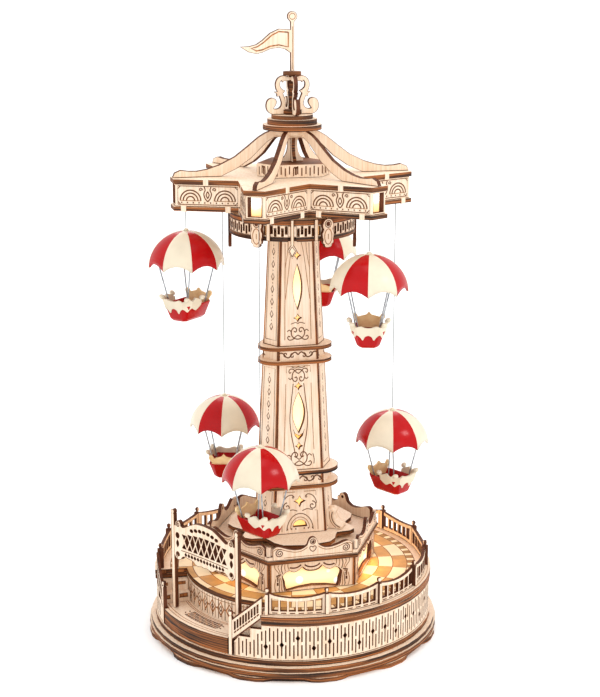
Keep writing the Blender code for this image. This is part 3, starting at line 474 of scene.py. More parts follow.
def lathe(profile, sides, centre=(0.0, 0.0), material=FACE):
    """A turned solid from radii and levels."""
    bm = bmesh.new()
    rings = []
    for radius, level in profile:
        ring = []
        for x, y in arc(radius, 0.0, 360.0, sides)[:-1]:
            ring.append(bm.verts.new((centre[0] + x, centre[1] + y, level)))
        rings.append(ring)
    for low, high in zip(rings, rings[1:]):
        for i in range(sides):
            j = (i + 1) % sides
            bm.faces.new((low[i], low[j], high[j], high[i]))
    bm.faces.new(rings[0])
    bm.faces.new(rings[-1])
    bmesh.ops.recalc_face_normals(bm, faces=bm.faces)
    for face in bm.faces:
        face.material_index = material
        face.smooth = True
    return bm


def merged(parts):
    """Several meshes in one."""
    target = bmesh.new()
    for part in parts:
        part.verts.index_update()
        copies = [target.verts.new(vert.co) for vert in part.verts]
        for face in part.faces:
            made = target.faces.new([copies[vert.index] for vert in face.verts])
            made.material_index = face.material_index
            made.smooth = face.smooth
        part.free()
    return target


def put(name, bm, materials, body="tower", replaces=(), smooth_angle=None):
    """Closes the work on a piece: metres, materials, and the CAD body that it rides on."""
    if isinstance(bm, list):
        bm = merged(bm)
    bmesh.ops.scale(bm, vec=(MM, MM, MM), verts=bm.verts)
    mesh = bpy.data.meshes.new(name)
    bm.to_mesh(mesh)
    bm.free()
    for material in materials:
        mesh.materials.append(bpy.data.materials[material])
    if smooth_angle is not None:
        mesh.shade_smooth()
        mesh.set_sharp_from_angle(angle=math.radians(smooth_angle))
    piece = bpy.data.objects.new(name, mesh)
    bpy.context.scene.collection.objects.link(piece)
    if body:
        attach(piece, body)
    if replaces:
        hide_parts(*replaces)
    return piece


# Materials.


class Finish:
    """A material and the calls that lay out its nodes."""

    def __init__(self, name, colour, roughness, metallic=0.0):
        self.material = bpy.data.materials.new(name)
        self.material.use_nodes = True
        self.tree = self.material.node_tree
        self.surface = self.tree.nodes["Principled BSDF"]
        self.set(self.surface, {"Base Color": (*colour, 1.0), "Roughness": roughness, "Metallic": metallic})
        self.material.diffuse_color = (*colour, 1.0)
        self.coordinates = self.tree.nodes.new("ShaderNodeTexCoord")

    def set(self, node, values):
        for name, value in values.items():
            node.inputs[name].default_value = value

    def link(self, source, node, name):
        self.tree.links.new(source, node.inputs[name])

    def node(self, kind, values=None, links=None, **settings):
        made = self.tree.nodes.new(kind)
        for name, value in settings.items():
            setattr(made, name, value)
        self.set(made, values or {})
        for name, source in (links or {}).items():
            self.link(source, made, name)
        return made

    def noise(self, scale, detail=3.0, stretch=(1.0, 1.0, 1.0)):
        mapping = self.node(
            "ShaderNodeMapping", {"Scale": stretch}, {"Vector": self.coordinates.outputs["Object"]}
        )
        made = self.node(
            "ShaderNodeTexNoise", {"Scale": scale, "Detail": detail}, {"Vector": mapping.outputs["Vector"]}
        )
        return made.outputs["Fac"]

    def ramp(self, factor, stops):
        made = self.node("ShaderNodeValToRGB", links={"Fac": factor})
        elements = made.color_ramp.elements
        while len(elements) < len(stops):
            elements.new(0.5)
        for element, (place, colour) in zip(elements, stops):
            element.position = place
            element.color = (*colour, 1.0)
        return made.outputs["Color"]

    def math(self, operation, first, second):
        made = self.tree.nodes.new("ShaderNodeMath")
        made.operation = operation
        for socket, value in zip(made.inputs, (first, second)):
            if isinstance(value, (int, float)):
                socket.default_value = value
            else:
                self.tree.links.new(value, socket)
        return made.outputs["Value"]

    def mix(self, factor, first, second, blend="MIX"):
        made = self.node("ShaderNodeMix", data_type="RGBA", blend_type=blend)
        for socket, value in ((0, factor), (6, first), (7, second)):
            if isinstance(value, tuple):
                made.inputs[socket].default_value = (*value, 1.0)
            elif isinstance(value, (int, float)):
                made.inputs[socket].default_value = value
            else:
                self.tree.links.new(value, made.inputs[socket])
        return made.outputs[2]

    def bump(self, height, strength, distance):
        made = self.node("ShaderNodeBump", {"Strength": strength, "Distance": distance}, {"Height": height})
        self.link(made.outputs["Normal"], self.surface, "Normal")

    def colour(self, source):
        self.link(source, self.surface, "Base Color")

    def mottled(self, factor, dark, light):
        return self.ramp(factor, [(0.3, dark), (0.7, light)])

    def place(self):
        return self.node("ShaderNodeSeparateXYZ", links={"Vector": self.coordinates.outputs["Object"]})

    def away(self, value, centre):
        return self.math("ABSOLUTE", self.math("SUBTRACT", value, centre), 0.0)


def shade(colour, scale):
    return tuple(min(1.0, c * scale) for c in colour)


def tinted(colour, scales):
    return tuple(c * scale for c, scale in zip(colour, scales))


def wood_colour(finish, light):
    """Pale plywood with fine grain that runs up and across, and broad soft patches."""
    grain = finish.noise(1.0, 4.0, (900.0, 900.0, 45.0))
    patch = finish.noise(60.0, 2.0)
    worked = finish.math("ADD", finish.math("MULTIPLY", grain, 0.7), finish.math("MULTIPLY", patch, 0.3))
    dark = tinted(light, (0.86, 0.77, 0.68))
    return finish.ramp(worked, [(0.34, dark), (0.6, light)]), grain


def layered_colour(finish, colour):
    """Layers of a thick flat plate's edge: dark bands for glue lines and painted shade in the grooves between
    layers, lighter bands for the ply between brightened into a painted highlight, and long streaks of char.
    """
    layers = finish.noise(1.0, 2.0, (14.0, 14.0, 1300.0))
    char = finish.noise(1.0, 2.0, (30.0, 30.0, 420.0))
    banded_shade_and_highlight = finish.ramp(layers, [(0.4, shade(colour, 0.2)), (0.5, colour), (0.62, shade(colour, 1.9))])
    soot = finish.ramp(char, [(0.38, (0.3, 0.3, 0.3)), (0.54, (1.0, 1.0, 1.0))])
    return finish.mix(1.0, banded_shade_and_highlight, soot, "MULTIPLY")


def scorched_colour(finish, colour):
    """The edge of a thin sheet that stands up: streaks that run upwards."""
    streaks = finish.noise(1.0, 3.0, (700.0, 700.0, 90.0))
    return finish.ramp(streaks, [(0.32, shade(colour, 0.45)), (0.68, shade(colour, 1.3))])


def make_wood(colours):
    face = Finish("plywood_face", colours.plywood, 0.62)
    colour, grain = wood_colour(face, colours.plywood)
    face.colour(colour)
    face.bump(grain, *GRAIN_RELIEF)
    for name, light, lay in (
        ("layered_edge", colours.burnt, layered_colour),
        ("toasted_edge", colours.toasted, scorched_colour),
        # The thin sheets' cut edges: char, with painted shade on top of it.
        ("scorched_edge", colours.scorched_and_shaded, scorched_colour),
    ):
        edge = Finish(name, light, 0.7)
        edge.colour(lay(edge, light))
    for name, light in (("engraving", colours.engraved), ("fine_engraving", colours.fine_engraved)):
        line = Finish(name, light, 0.75)
        line.colour(line.mottled(line.noise(700.0, 2.0), shade(light, 0.6), light))


def make_plate_wood(name, colours, mask_kind, paving=False):
    """Plywood for the CAD's own solids: the way that a face points tells a sheet's face from its cut edge."""
    made = Finish(name, colours.plywood, 0.62)
    face, grain = wood_colour(made, colours.plywood)
    if paving:
        face = paving_colour(made, face, colours)
    edge = layered_colour(made, colours.burnt)
    geometry = made.node("ShaderNodeNewGeometry")
    normal = made.node("ShaderNodeSeparateXYZ", links={"Vector": geometry.outputs["Normal"]})
    if mask_kind == "plate":
        mask = made.math("ABSOLUTE", normal.outputs["Z"], 0.0)
    else:
        place = made.place()
        flat = made.node("ShaderNodeCombineXYZ", links={"X": place.outputs["X"], "Y": place.outputs["Y"]})
        out = made.node("ShaderNodeVectorMath", operation="NORMALIZE")
        made.link(flat.outputs["Vector"], out, 0)
        along = made.node("ShaderNodeVectorMath", operation="DOT_PRODUCT")
        made.link(out.outputs["Vector"], along, 0)
        made.link(geometry.outputs["Normal"], along, 1)
        radial = made.math("ABSOLUTE", along.outputs["Value"], 0.0)
        if mask_kind == "wall":
            mask = radial
        else:
            level = made.math("ABSOLUTE", normal.outputs["Z"], 0.0)
            mask = made.math("SUBTRACT", 1.0, made.math("MAXIMUM", radial, level))
            mask = made.math("MULTIPLY", mask, 1.6)
    shown = made.math("GREATER_THAN", mask, SQUARE_ON)
    made.colour(made.mix(shown, edge, face))
    made.bump(grain, *GRAIN_RELIEF)


def paving_colour(made, wood, colours):
    """Three rings of pale and orange tiles, then short dashes of brick and bare wood to the rim."""
    place = made.place()
    x, y = place.outputs["X"], place.outputs["Y"]
    squares = made.math("ADD", made.math("MULTIPLY", x, x), made.math("MULTIPLY", y, y))
    radius = made.math("SQRT", squares, 0.0)
    angle = made.math("DIVIDE", made.math("ARCTAN2", y, x), 2.0 * math.pi)
    inwards = made.math("DIVIDE", made.math("SUBTRACT", TILE_RIM * MM, radius), TILE_DEPTH * MM)
    spoke = made.math("ADD", made.math("MULTIPLY", angle, TILES_PER_RING), TILE_PHASE)
    parity = made.math("ADD", made.math("FLOOR", inwards, 0.0), made.math("FLOOR", spoke, 0.0))
    parity = made.math("PINGPONG", parity, 1.0)
    cloud = made.noise(160.0, 3.0)
    pale = made.mottled(cloud, shade(colours.tile_pale, 0.9), colours.tile_pale)
    deep = made.mottled(cloud, shade(colours.tile_orange, 0.82), shade(colours.tile_orange, 1.08))
    tile = made.mix(parity, pale, deep)
    across = made.math("MULTIPLY", made.math("PINGPONG", spoke, 0.5), TILE_PITCH_LENGTH)
    joint = made.math("MINIMUM", made.math("PINGPONG", inwards, 0.5), across)
    grout = made.math("LESS_THAN", joint, GROUT_SHARE)
    tile = made.mix(grout, tile, tuple(colours.burnt))
    brick = made.math("MULTIPLY", angle, BRICKS_PER_RING)
    odd = made.math("PINGPONG", made.math("FLOOR", brick, 0.0), 1.0)
    dash = made.mix(odd, tuple(colours.tile_pale), shade(colours.tile_orange, 0.7))
    mortar = made.math("LESS_THAN", made.math("PINGPONG", brick, 0.5), MORTAR_SHARE)
    dash = made.mix(mortar, dash, tuple(colours.burnt))
    floor = made.mix(made.math("GREATER_THAN", radius, TILE_RIM * MM), tile, dash)
    floor = made.mix(made.math("GREATER_THAN", radius, BRICK_RIM * MM), floor, wood)
    rims = ((TILE_RIM, colours.engraved), (BRICK_RIM, colours.burnt), (EDGE_LINE, colours.fine_engraved))
    for rim, dark in rims:
        line = made.math("LESS_THAN", made.away(radius, rim * MM), PAVING_LINE * MM)
        floor = made.mix(line, floor, tuple(dark))
    return floor


def make_plastics(colours):
    for name, light, roughness in (("red_shell", colours.red, 0.2), ("cream_shell", colours.cream, 0.3)):
        made = Finish(name, light, roughness)
        made.colour(made.mottled(made.noise(90.0, 2.0), shade(light, 0.88), light))
        made.bump(made.noise(900.0, 2.0), 0.05, 0.00005)
        made.set(made.surface, {"Specular IOR Level": 0.22, "Coat Weight": 0.12, "Coat Roughness": 0.16})
    # The basket's rear plate: cream plastic painted in the warmer, darker tone that it shows in shade.
    shaded_cream = Finish("tan_shell", (0.88, 0.66, 0.36), 0.5)
    shaded_cream.colour(shaded_cream.mottled(shaded_cream.noise(200.0), (0.78, 0.54, 0.26), (0.94, 0.74, 0.43)))
    thread = Finish("thread", (0.16, 0.16, 0.17), 0.7)
    twist = thread.noise(1.0, 1.0, (900.0, 900.0, 2600.0))
    thread.colour(thread.mottled(twist, (0.08, 0.08, 0.09), (0.22, 0.22, 0.22)))
    thread.bump(twist, 0.3, 0.00003)
    steel = Finish("steel_rod", (0.55, 0.56, 0.58), 0.3, 0.8)
    steel.colour(steel.mottled(steel.noise(500.0), (0.20, 0.21, 0.23), (0.50, 0.51, 0.53)))


def glowing(made, lit, strength):
    made.colour(lit)
    made.link(lit, made.surface, "Emission Color")
    made.set(made.surface, {"Emission Strength": strength})


def make_glow(colours):
    """Frosted film with lamps behind it: hot spots in the booth, and light from above in the star."""
    amber = tinted(colours.glow, (1.0, 0.92, 0.62))
    honey = tinted(colours.glow, (1.0, 1.12, 1.5))
    white = (1.0, 0.98, 0.92)
    booth = Finish("booth_film", colours.glow, 0.5)
    spots = {"Scale": 125.0, "Randomness": 0.6}
    lamps = booth.node("ShaderNodeTexVoronoi", spots, {"Vector": booth.coordinates.outputs["Object"]})
    away = booth.away(booth.place().outputs["Z"], LAMP_LEVEL * MM)
    away = booth.math("DIVIDE", away, LAMP_SPREAD * MM)
    dim = booth.ramp(away, [(0.3, (1.0, 0.82, 0.50)), (1.0, (1.0, 0.68, 0.30))])
    spot = booth.ramp(lamps.outputs["Distance"], [(0.24, white), (0.4, (0.0, 0.0, 0.0))])
    glowing(booth, booth.mix(1.0, dim, spot, "LIGHTEN"), BOOTH_GLOW)
    tip = Finish("amber_film", colours.glow, 0.5)
    height = tip.math("SUBTRACT", tip.place().outputs["Z"], STAR_WALL[0] * MM)
    height = tip.math("DIVIDE", height, (STAR_WALL[1] - STAR_WALL[0]) * MM)
    cloud = tip.math("ADD", height, tip.math("MULTIPLY", tip.noise(160.0, 2.0), 0.35))
    glowing(tip, tip.ramp(cloud, [(0.3, (0.72, 0.44, 0.20)), (0.55, honey), (0.75, white)]), STAR_GLOW)
    shaft = Finish("shaft_film", colours.glow, 0.5)
    level = shaft.place().outputs["Z"]
    tall = []
    for middle, half in LENS_LEVELS:
        tall.append(shaft.math("LESS_THAN", shaft.away(level, middle * MM), half * MM))
    cloud = shaft.noise(60.0, 1.0)
    gold = shaft.ramp(cloud, [(0.35, amber), (0.65, honey)])
    pale = shaft.ramp(cloud, [(0.3, (0.88, 0.68, 0.36)), (0.65, (0.92, 0.79, 0.52))])
    glowing(shaft, shaft.mix(shaft.math("MAXIMUM", *tall), gold, pale), COLUMN_GLOW)


def paint(material, *nodes):
    """Gives CAD nodes a finish."""
    for name in nodes:
        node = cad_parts[name]
        node.data.materials.clear()
        node.data.materials.append(bpy.data.materials[material])


# Base, deck and entry.


def tread_levels():
    rise = (DECK_TOP - LANDING_TOP) / (STEP_COUNT + 1)
    return [LANDING_TOP + rise * (i + 1) for i in range(STEP_COUNT)]


def steps(foot, head, levels):
    points = []
    tread = (head - foot) / len(levels)
    for i, level in enumerate(levels):
        points.append((foot + tread * i, level))
        points.append((foot + tread * (i + 1), level))
    return points


def beside_entry(turn, side):
    return ENTRY_MIDDLE + side * turn


def make_skirt():
    """The slotted wall under the deck. Long and short slots take turns, and some carry a diamond."""
    low, high = SKIRT
    foot = NEWEL_TURN + 1.5
    head = (ENTRY_END - ENTRY_START) / 2.0
    levels = [level - TREAD_THICKNESS for level in tread_levels()]
    side = [(foot, low), (foot, LANDING_TOP - 1.0)] + steps(FLIGHT_FOOT, head, levels) + [(head, high)]
    right = [(beside_entry(turn, 1.0), level) for turn, level in side]
    left = [(beside_entry(turn, -1.0) + 360.0, level) for turn, level in reversed(side)]
    holes = []
    start, end = right[0][0] + SLOT_MARGIN, left[-1][0] - SLOT_MARGIN

    def roof(azimuth):
        turn = min(azimuth - ENTRY_MIDDLE, ENTRY_MIDDLE + 360.0 - azimuth)
        return min([high] + [level for place, level in side[2:] if place > turn - SLOT_PITCH])

    count = int((end - start) / SLOT_PITCH)
    for i in range(count):
        middle = start + SLOT_PITCH * (i + 0.5)
        a, b = middle - SLOT_HALF_ANGLE, middle + SLOT_HALF_ANGLE
        top = roof(middle) - SLOT_MARGIN
        if i % 2 == 0:
            if top > 26.0:
                holes.append(rectangle(a, low + 1.0, b, 21.5))
                holes.append(rectangle(a, 23.5, b, top))
            else:
                holes.append(rectangle(a, low + 1.0, b, top))
        elif top < SLOT_HEAD:
            holes.append(rectangle(a, low + 2.4, b, top - 1.6))
        elif i % 4 == 1:
            holes.append(rectangle(a, SLOT_FOOT, b, SLOT_HEAD))
        else:
            level = 22.4 + 3.6 * math.sin(i * 0.55)
            diamond_right = [(b, level - 1.5), (middle + 0.84, level), (b, level + 1.5)]
            diamond_left = [(a, level + 1.5), (middle - 0.84, level), (a, level - 1.5)]
            foot_line = [(a, SLOT_FOOT), (b, SLOT_FOOT)]
            holes.append(foot_line + diamond_right + [(b, SLOT_HEAD), (a, SLOT_HEAD)] + diamond_left)
    seams = [([(right[0][0] + 0.4, low), (right[0][0] + 0.4, 20.6)], 0.3)]
    bm = bent_sheet(right + left, holes, SKIRT_RADIUS, SKIRT_THICKNESS, right[0][0], left[-1][0], seams)
    put("skirt_slotted", bm, PLY, replaces=["skirt_wall"])


def make_entry():
    """Planks and a row of lozenges on the recessed wall, a woven mat and the edges of the treads."""
    start, end = ENTRY_START + 0.3, ENTRY_END - 0.3
    planks = []
    count = 30
    for i in range(1, count):
        azimuth = start + (end - start) * i / count
        seam = [(azimuth, LANDING_TOP + 0.6), (azimuth, 35.4)]
        planks.append((seam, 0.25 + 0.2 * (i % 2), (FINE, BURN)[i % 2]))
    lozenge = [(0.0, -4.2), (2.2, 0.0), (0.0, 4.2), (-2.2, 0.0), (0.0, -4.2)]
    middle_level = 29.0
    for i in range(9):
        azimuth = ENTRY_MIDDLE + 6.0 * (i - 4)
        for grow, width, tone in ((1.0, 0.8, TOAST), (0.4, 0.5, BURN)):
            planks.append(([(azimuth + x * grow, middle_level + z * grow) for x, z in lozenge], width, tone))
        planks += dots([(azimuth + 3.0, middle_level)], 0.8)
        planks.append(([(azimuth - 0.6, 24.2), (azimuth + 0.6, 24.2)], 0.5, BURN))
    planks.append(([(start, 34.2), (end, 34.2)], 0.3, FINE))
    outline = rectangle(start, SKIRT[0], end, 36.0)
    wall = bent_sheet(outline, [], ENTRY_WALL_RADIUS, ENTRY_WALL_THICKNESS, start, end, planks, step=4.0)
    put("entry_planks", wall, PLY, replaces=["entry_wall"])
    make_mat()
    make_tread_edges()


def make_mat():
    """A plain weave between two bands, fringes at its ends, and the lines along the landing's edges."""
    half = 10.5
    mat = []
    for k in range(4):
        radius = 71.2 + k * 1.5
        for i in range(15):
            azimuth = ENTRY_MIDDLE - half + 0.6 + i * half / 7.2
            lean = 0.5 if (i + k) % 2 else -0.5
            zigzag = ((-0.5, -lean), (0.0, lean), (0.5, -lean))
            weave = [polar(radius + out, azimuth + turn) for out, turn in zigzag]
            mat.append((weave, 0.75, (BURN, TOAST, EDGE)[(i + 2 * k) % 3]))
    for radius in (70.2, 76.6):
        mat.append((arc(radius, ENTRY_MIDDLE - half, ENTRY_MIDDLE + half, 12), 0.4, EDGE))
    for side in (-1.0, 1.0):
        azimuth = ENTRY_MIDDLE + side * (half + 1.6)
        for k in range(2):
            fringe = [polar(71.6 + 3.0 * k, azimuth - 0.7), polar(72.6 + 3.0 * k, azimuth + 0.7)]
            mat.append((fringe, 0.6, BURN))
    for radius, turn in ((67.4, 24.0), (68.6, 24.0), (79.6, 25.6), (81.6, 26.0)):
        mat.append((arc(radius, ENTRY_MIDDLE - turn, ENTRY_MIDDLE + turn, 30), 0.3, TOAST))
    bm = bmesh.new()
    engrave(bm, mat, LANDING_TOP + LINE_LIFT)
    for face in bm.faces:
        face.normal_update()
        if face.normal.z < 0.0:
            face.normal_flip()
    put("entry_mat", bm, PLY)


def make_tread_edges():
    """Short toasted edges on the treads of both flights."""
    levels = tread_levels() + [DECK_TOP]
    tread = ((ENTRY_END - ENTRY_START) / 2.0 - FLIGHT_FOOT) / STEP_COUNT
    thickness = 0.3
    parts = []
    for side in (-1.0, 1.0):
        for i, level in enumerate(levels):
            for start, end in ((67.4, 72.4), (78.4, 82.6)):
                edge = sheet(rectangle(start, level - 2.3, end, level - 0.4), [], thickness)
                for face in edge.faces:
                    if face.material_index == FACE:
                        face.material_index = TOAST
                shadow = [(start - 0.3, level - 2.7), (end + 0.3, level - 2.7)]
                engrave(edge, [(shadow, 0.5)], thickness / 2.0)
                turn = beside_entry(FLIGHT_FOOT + tread * i, side) - 90.0
                parts.append(stand(edge, turn, thickness * (side > 0.0)))
    put("tread_edges", parts, PLY)


def ball_post(radius, azimuth, low, high, half_width, ball=1.6, slim=1.0):
    """A post with a ball. Sheet faces look in and out, and burnt edges look to the sides."""
    neck = high - 2.0 * ball
    corner = half_width * math.sqrt(2.0)
    shaft = lathe([(corner, low), (corner, neck - 0.9), (0.9, neck - 0.3), (0.8, neck + 0.3)], 4)
    x, y = polar(radius, azimuth)
    section = Matrix.Diagonal((slim, 1.0, 1.0, 1.0)) @ Matrix.Rotation(math.radians(45.0), 4, "Z")
    turn = Matrix.Translation((x, y, 0.0)) @ Matrix.Rotation(math.radians(azimuth), 4, "Z") @ section
    bmesh.ops.transform(shaft, matrix=turn, verts=shaft.verts)
    outwards = Vector((x, y, 0.0)).normalized()
    for face in shaft.faces:
        face.normal_update()
        face.smooth = False
        face.material_index = FACE if abs(face.normal.dot(outwards)) > SQUARE_ON else EDGE
    profile = [(0.8, neck), (ball * 0.8, neck + 0.5), (ball, neck + ball), (ball * 0.75, high - 0.5)]
    profile += [(0.2, high)]
    knob = lathe(profile, 12, (x, y))
    for face in knob.faces:
        face.normal_update()
        face.material_index = FACE if abs(face.normal.dot(outwards)) > 0.7 else EDGE
    return [shaft, knob]


def make_stair_rails():
    """A sloping rail beside each flight, with a row of slots and a ball-topped post at its foot."""
    near, deck_edge, far = NEWEL_TURN + 0.6, 33.7, 34.25
    floor = DECK_TOP + 0.3
    rail_height = 13.0

    def slope(turn, up=0.0):
        return (turn, 20.5 + 1.28 * (turn - NEWEL_TURN) + up)

    profile = [slope(near, rail_height), slope(near), slope(deck_edge), (deck_edge, floor), (far, floor)]
    profile += [slope(far, rail_height)]
    bars, lines = [], []
    slots = 9
    pitch = (far - near - 1.8) / slots
    for i in range(slots):
        a = near + 1.0 + pitch * i
        b = a + pitch * 0.55
        bars.append([slope(a, 5.2), slope(b, 5.2), slope(b, 10.4), slope(a, 10.4)])
        # A dark line under each slot, painted as the shade in the gap below it.
        lines.append(([slope(a, 3.6), slope(b + 0.2, 3.9)], 0.7, BURN))
    # Dark lines just inside the top and the foot: the burnt edges with painted shade on their thickness.
    for end, up in ((far, 12.7), (deck_edge, 0.4)):
        lines.append(([slope(near, up), slope(end, up)], 0.6, EDGE))
    for name, side in (("right", 1.0), ("left", -1.0)):

        def along(points, side=side):
            return [(beside_entry(turn, side), level) for turn, level in points]

        engraved = [(along(points), *rest) for points, *rest in lines]
        start, end = sorted((beside_entry(near, side), beside_entry(far, side)))
        holes = [along(bar) for bar in bars]
        panel = bent_sheet(along(profile), holes, SKIRT_RADIUS, 1.6, start, end, engraved)
        newel = ball_post(NEWEL_RADIUS, beside_entry(NEWEL_TURN, side), SKIRT[0], NEWEL_TOP, 1.2, 1.5, 0.8)
        put(f"stair_railing_{name}", [panel] + newel, PLY, replaces=[f"stair_rail_{name}"])


def make_sign():
    """The gateway board: a lattice between two ball-topped posts, under an arch with a scroll at each end."""
    half = SIGN_RADIUS * math.sin(math.radians(SIGN_HALF_ANGLE))
    reach = SIGN_RADIUS * math.cos(math.radians(SIGN_HALF_ANGLE))
    low = LANDING_TOP + 0.3
    post = 1.2
    inner = half - post
    scroll_middle = (inner - 3.6, 76.3)
    right = [(half + post, low), (half + post, 81.8), (half + 0.8, 82.2)]
    right += ring_arc((half, 83.3), 1.35, -60.0, 240.0, 16)
    right += [(half - 0.8, 82.2), (inner, 81.8), (inner, 75.2)]
    right += ring_arc(scroll_middle, 2.3, -30.0, 190.0, 12)
    right += smooth([(18.8, 75.2), (16.6, 76.0), (13.7, 77.6), (10.7, 79.0), (6.5, 80.6), (0.0, 81.1)])[:-1]
    left = [(-x, z) for x, z in reversed(right)]
    under = [(-inner, 56.8), (-24.9, 55.0), (-23.0, 54.3), (-20.8, 54.8), (-19.4, 56.6), (-17.0, 57.4)]
    under += [(-13.4, 57.0), (-10.0, 56.7), (-7.8, 55.2), (-5.5, 54.8), (-2.6, 55.4), (0.0, 55.2)]
    under = [(-inner, low)] + smooth(under)
    under += [(-x, z) for x, z in reversed(under[:-1])]
    holes = []
    pitch = 5.0
    for i in range(-4, 5):
        x = i * pitch
        crown = 73.4 - 0.006 * x * x
        waist = (62.5 + crown) / 2.0
        if abs(i) < 4:
            holes.append([(x - 1.9, waist), (x, 63.4), (x + 1.9, waist), (x, crown - 0.6)])
        if i < 4:
            x += pitch / 2.0
            holes.append([(x - 1.9, 62.4), (x + 1.9, 62.4), (x, waist - 1.2)])
            holes.append([(x - 1.9, crown), (x, waist + 1.2), (x + 1.9, crown)])
    oval = ring_arc((0.0, 0.0), 1.0, 0.0, 360.0, 10)[:-1]
    for i in range(-3, 4):
        x = i * 3.6
        holes.append([(x + 1.5 * a, 77.2 - 0.016 * x * x + 1.05 * b) for a, b in oval])
    for i in range(-6, 7):
        x = i * 2.7
        holes.append([(x - 1.15, 58.8), (x, 57.7), (x + 1.15, 58.8), (x, 60.3)])
    for x in (-23.4, 23.4):
        holes.append([(x + 1.7 * a, 69.4 + 1.9 * b) for a, b in oval])
        holes.append(lens(x, 61.8, 66.8, 1.2, 6))
        holes.append([(x - math.copysign(0.4, x) + 1.3 * a, 57.6 + 1.3 * b) for a, b in oval])
    scrolls = scroll(scroll_middle, 1.7, 100.0, -560.0, 0.5) + scroll((23.0, 57.6), 2.3, -80.0, 330.0, 0.5)
    strokes = both(scrolls)
    strokes += both([(smooth([(20.4, 60.6), (12.0, 60.9), (0.0, 61.0)]), 0.3)])
    strokes += both([([(half - 1.2, low + 1.0), (half - 1.2, 81.0)], 0.25, FINE)])
    bm = sheet(right + [(0.0, 81.1)] + left + under, holes, SIGN_THICKNESS, strokes)
    put("gateway_sign", stand(bm, ENTRY_MIDDLE + SIGN_TURN, reach), PLY, replaces=["entrance_sign"])


def make_balustrade(name, first_post):
    """Three bays of pierced railing under a rail that sags between ball-topped posts."""
    start = 0.5 + POST_STEP * first_post
    end = start + POST_STEP * BAYS_PER_PIECE
    trim = 0.9
    last_piece = first_post + BAYS_PER_PIECE == POST_COUNT - 2
    curve_steps = 8
    rail = 2.1
    top = []
    holes = []
    dashes = []
    for bay in range(BAYS_PER_PIECE):
        left = start + POST_STEP * bay

        def height(azimuth, left=left):
            share = (azimuth - left) / POST_STEP
            return RAIL_MIDDLE + RAIL_RISE * (2.0 * share - 1.0) ** 2

        for i in range(curve_steps):
            azimuth = left + POST_STEP * i / curve_steps
            if azimuth > start + trim or not top:
                top.append((max(azimuth, start + trim), height(azimuth)))
        pitch = (POST_STEP - 2.0 * BAY_MARGIN) / OPENINGS_PER_BAY
        for i in range(OPENINGS_PER_BAY):
            a = left + BAY_MARGIN + pitch * i + BAR_HALF_ANGLE
            b = a + pitch - 2.0 * BAR_HALF_ANGLE
            foot = RAIL_LOW + rail
            holes.append([(a, foot), (b, foot), (b, height(b) - rail), (a, height(a) - rail)])
            # A dark dash under each opening, painted as the shade seen through a narrow slot there.
            dashes.append(([(a + 0.3, foot - 1.2), (b - 0.3, foot - 1.2)], 0.5, BURN))
    finish_at = end if last_piece else end - 1.75
    top.append((finish_at, height(finish_at)))
    outline = [(finish_at, RAIL_LOW), (start + trim, RAIL_LOW)] + top
    parts = [bent_sheet(outline, holes, RAIL_OUTER, RAIL_THICKNESS, start + trim, finish_at, dashes, 4.0)]
    for i in range(BAYS_PER_PIECE + last_piece):
        parts += ball_post(POST_RADIUS + 0.7, start + POST_STEP * i, RAIL_LOW, POST_TOP, 1.9, 1.35, 0.45)
    put(f"railing_{name}", parts, PLY, replaces=[f"balustrade_{name}"])


# Booth.


def booth_window(middle):
    """The opening between two tied curtains, under three swags and over the round front of the counter."""
    half = [(8.7, 41.0), (16.0, 39.6), (16.8, 42.0), (17.1, 44.6), (18.2, 47.2), (18.3, 48.8), (16.4, 51.0)]
    half += [(13.7, 52.0)]
    side_swag = smooth([(13.7, 52.0), (12.2, 51.1), (10.4, 50.8), (8.2, 51.8), (5.9, 53.8)], 3)[1:]
    middle_swag = smooth([(5.9, 53.8), (4.2, 52.2), (2.2, 51.4), (0.0, 51.2)], 3)[1:]
    half += side_swag + middle_swag
    window = [(middle, 41.7)] + [(middle + x, z) for x, z in half]
    return window + [(middle - x, z) for x, z in reversed(half[:-1])]


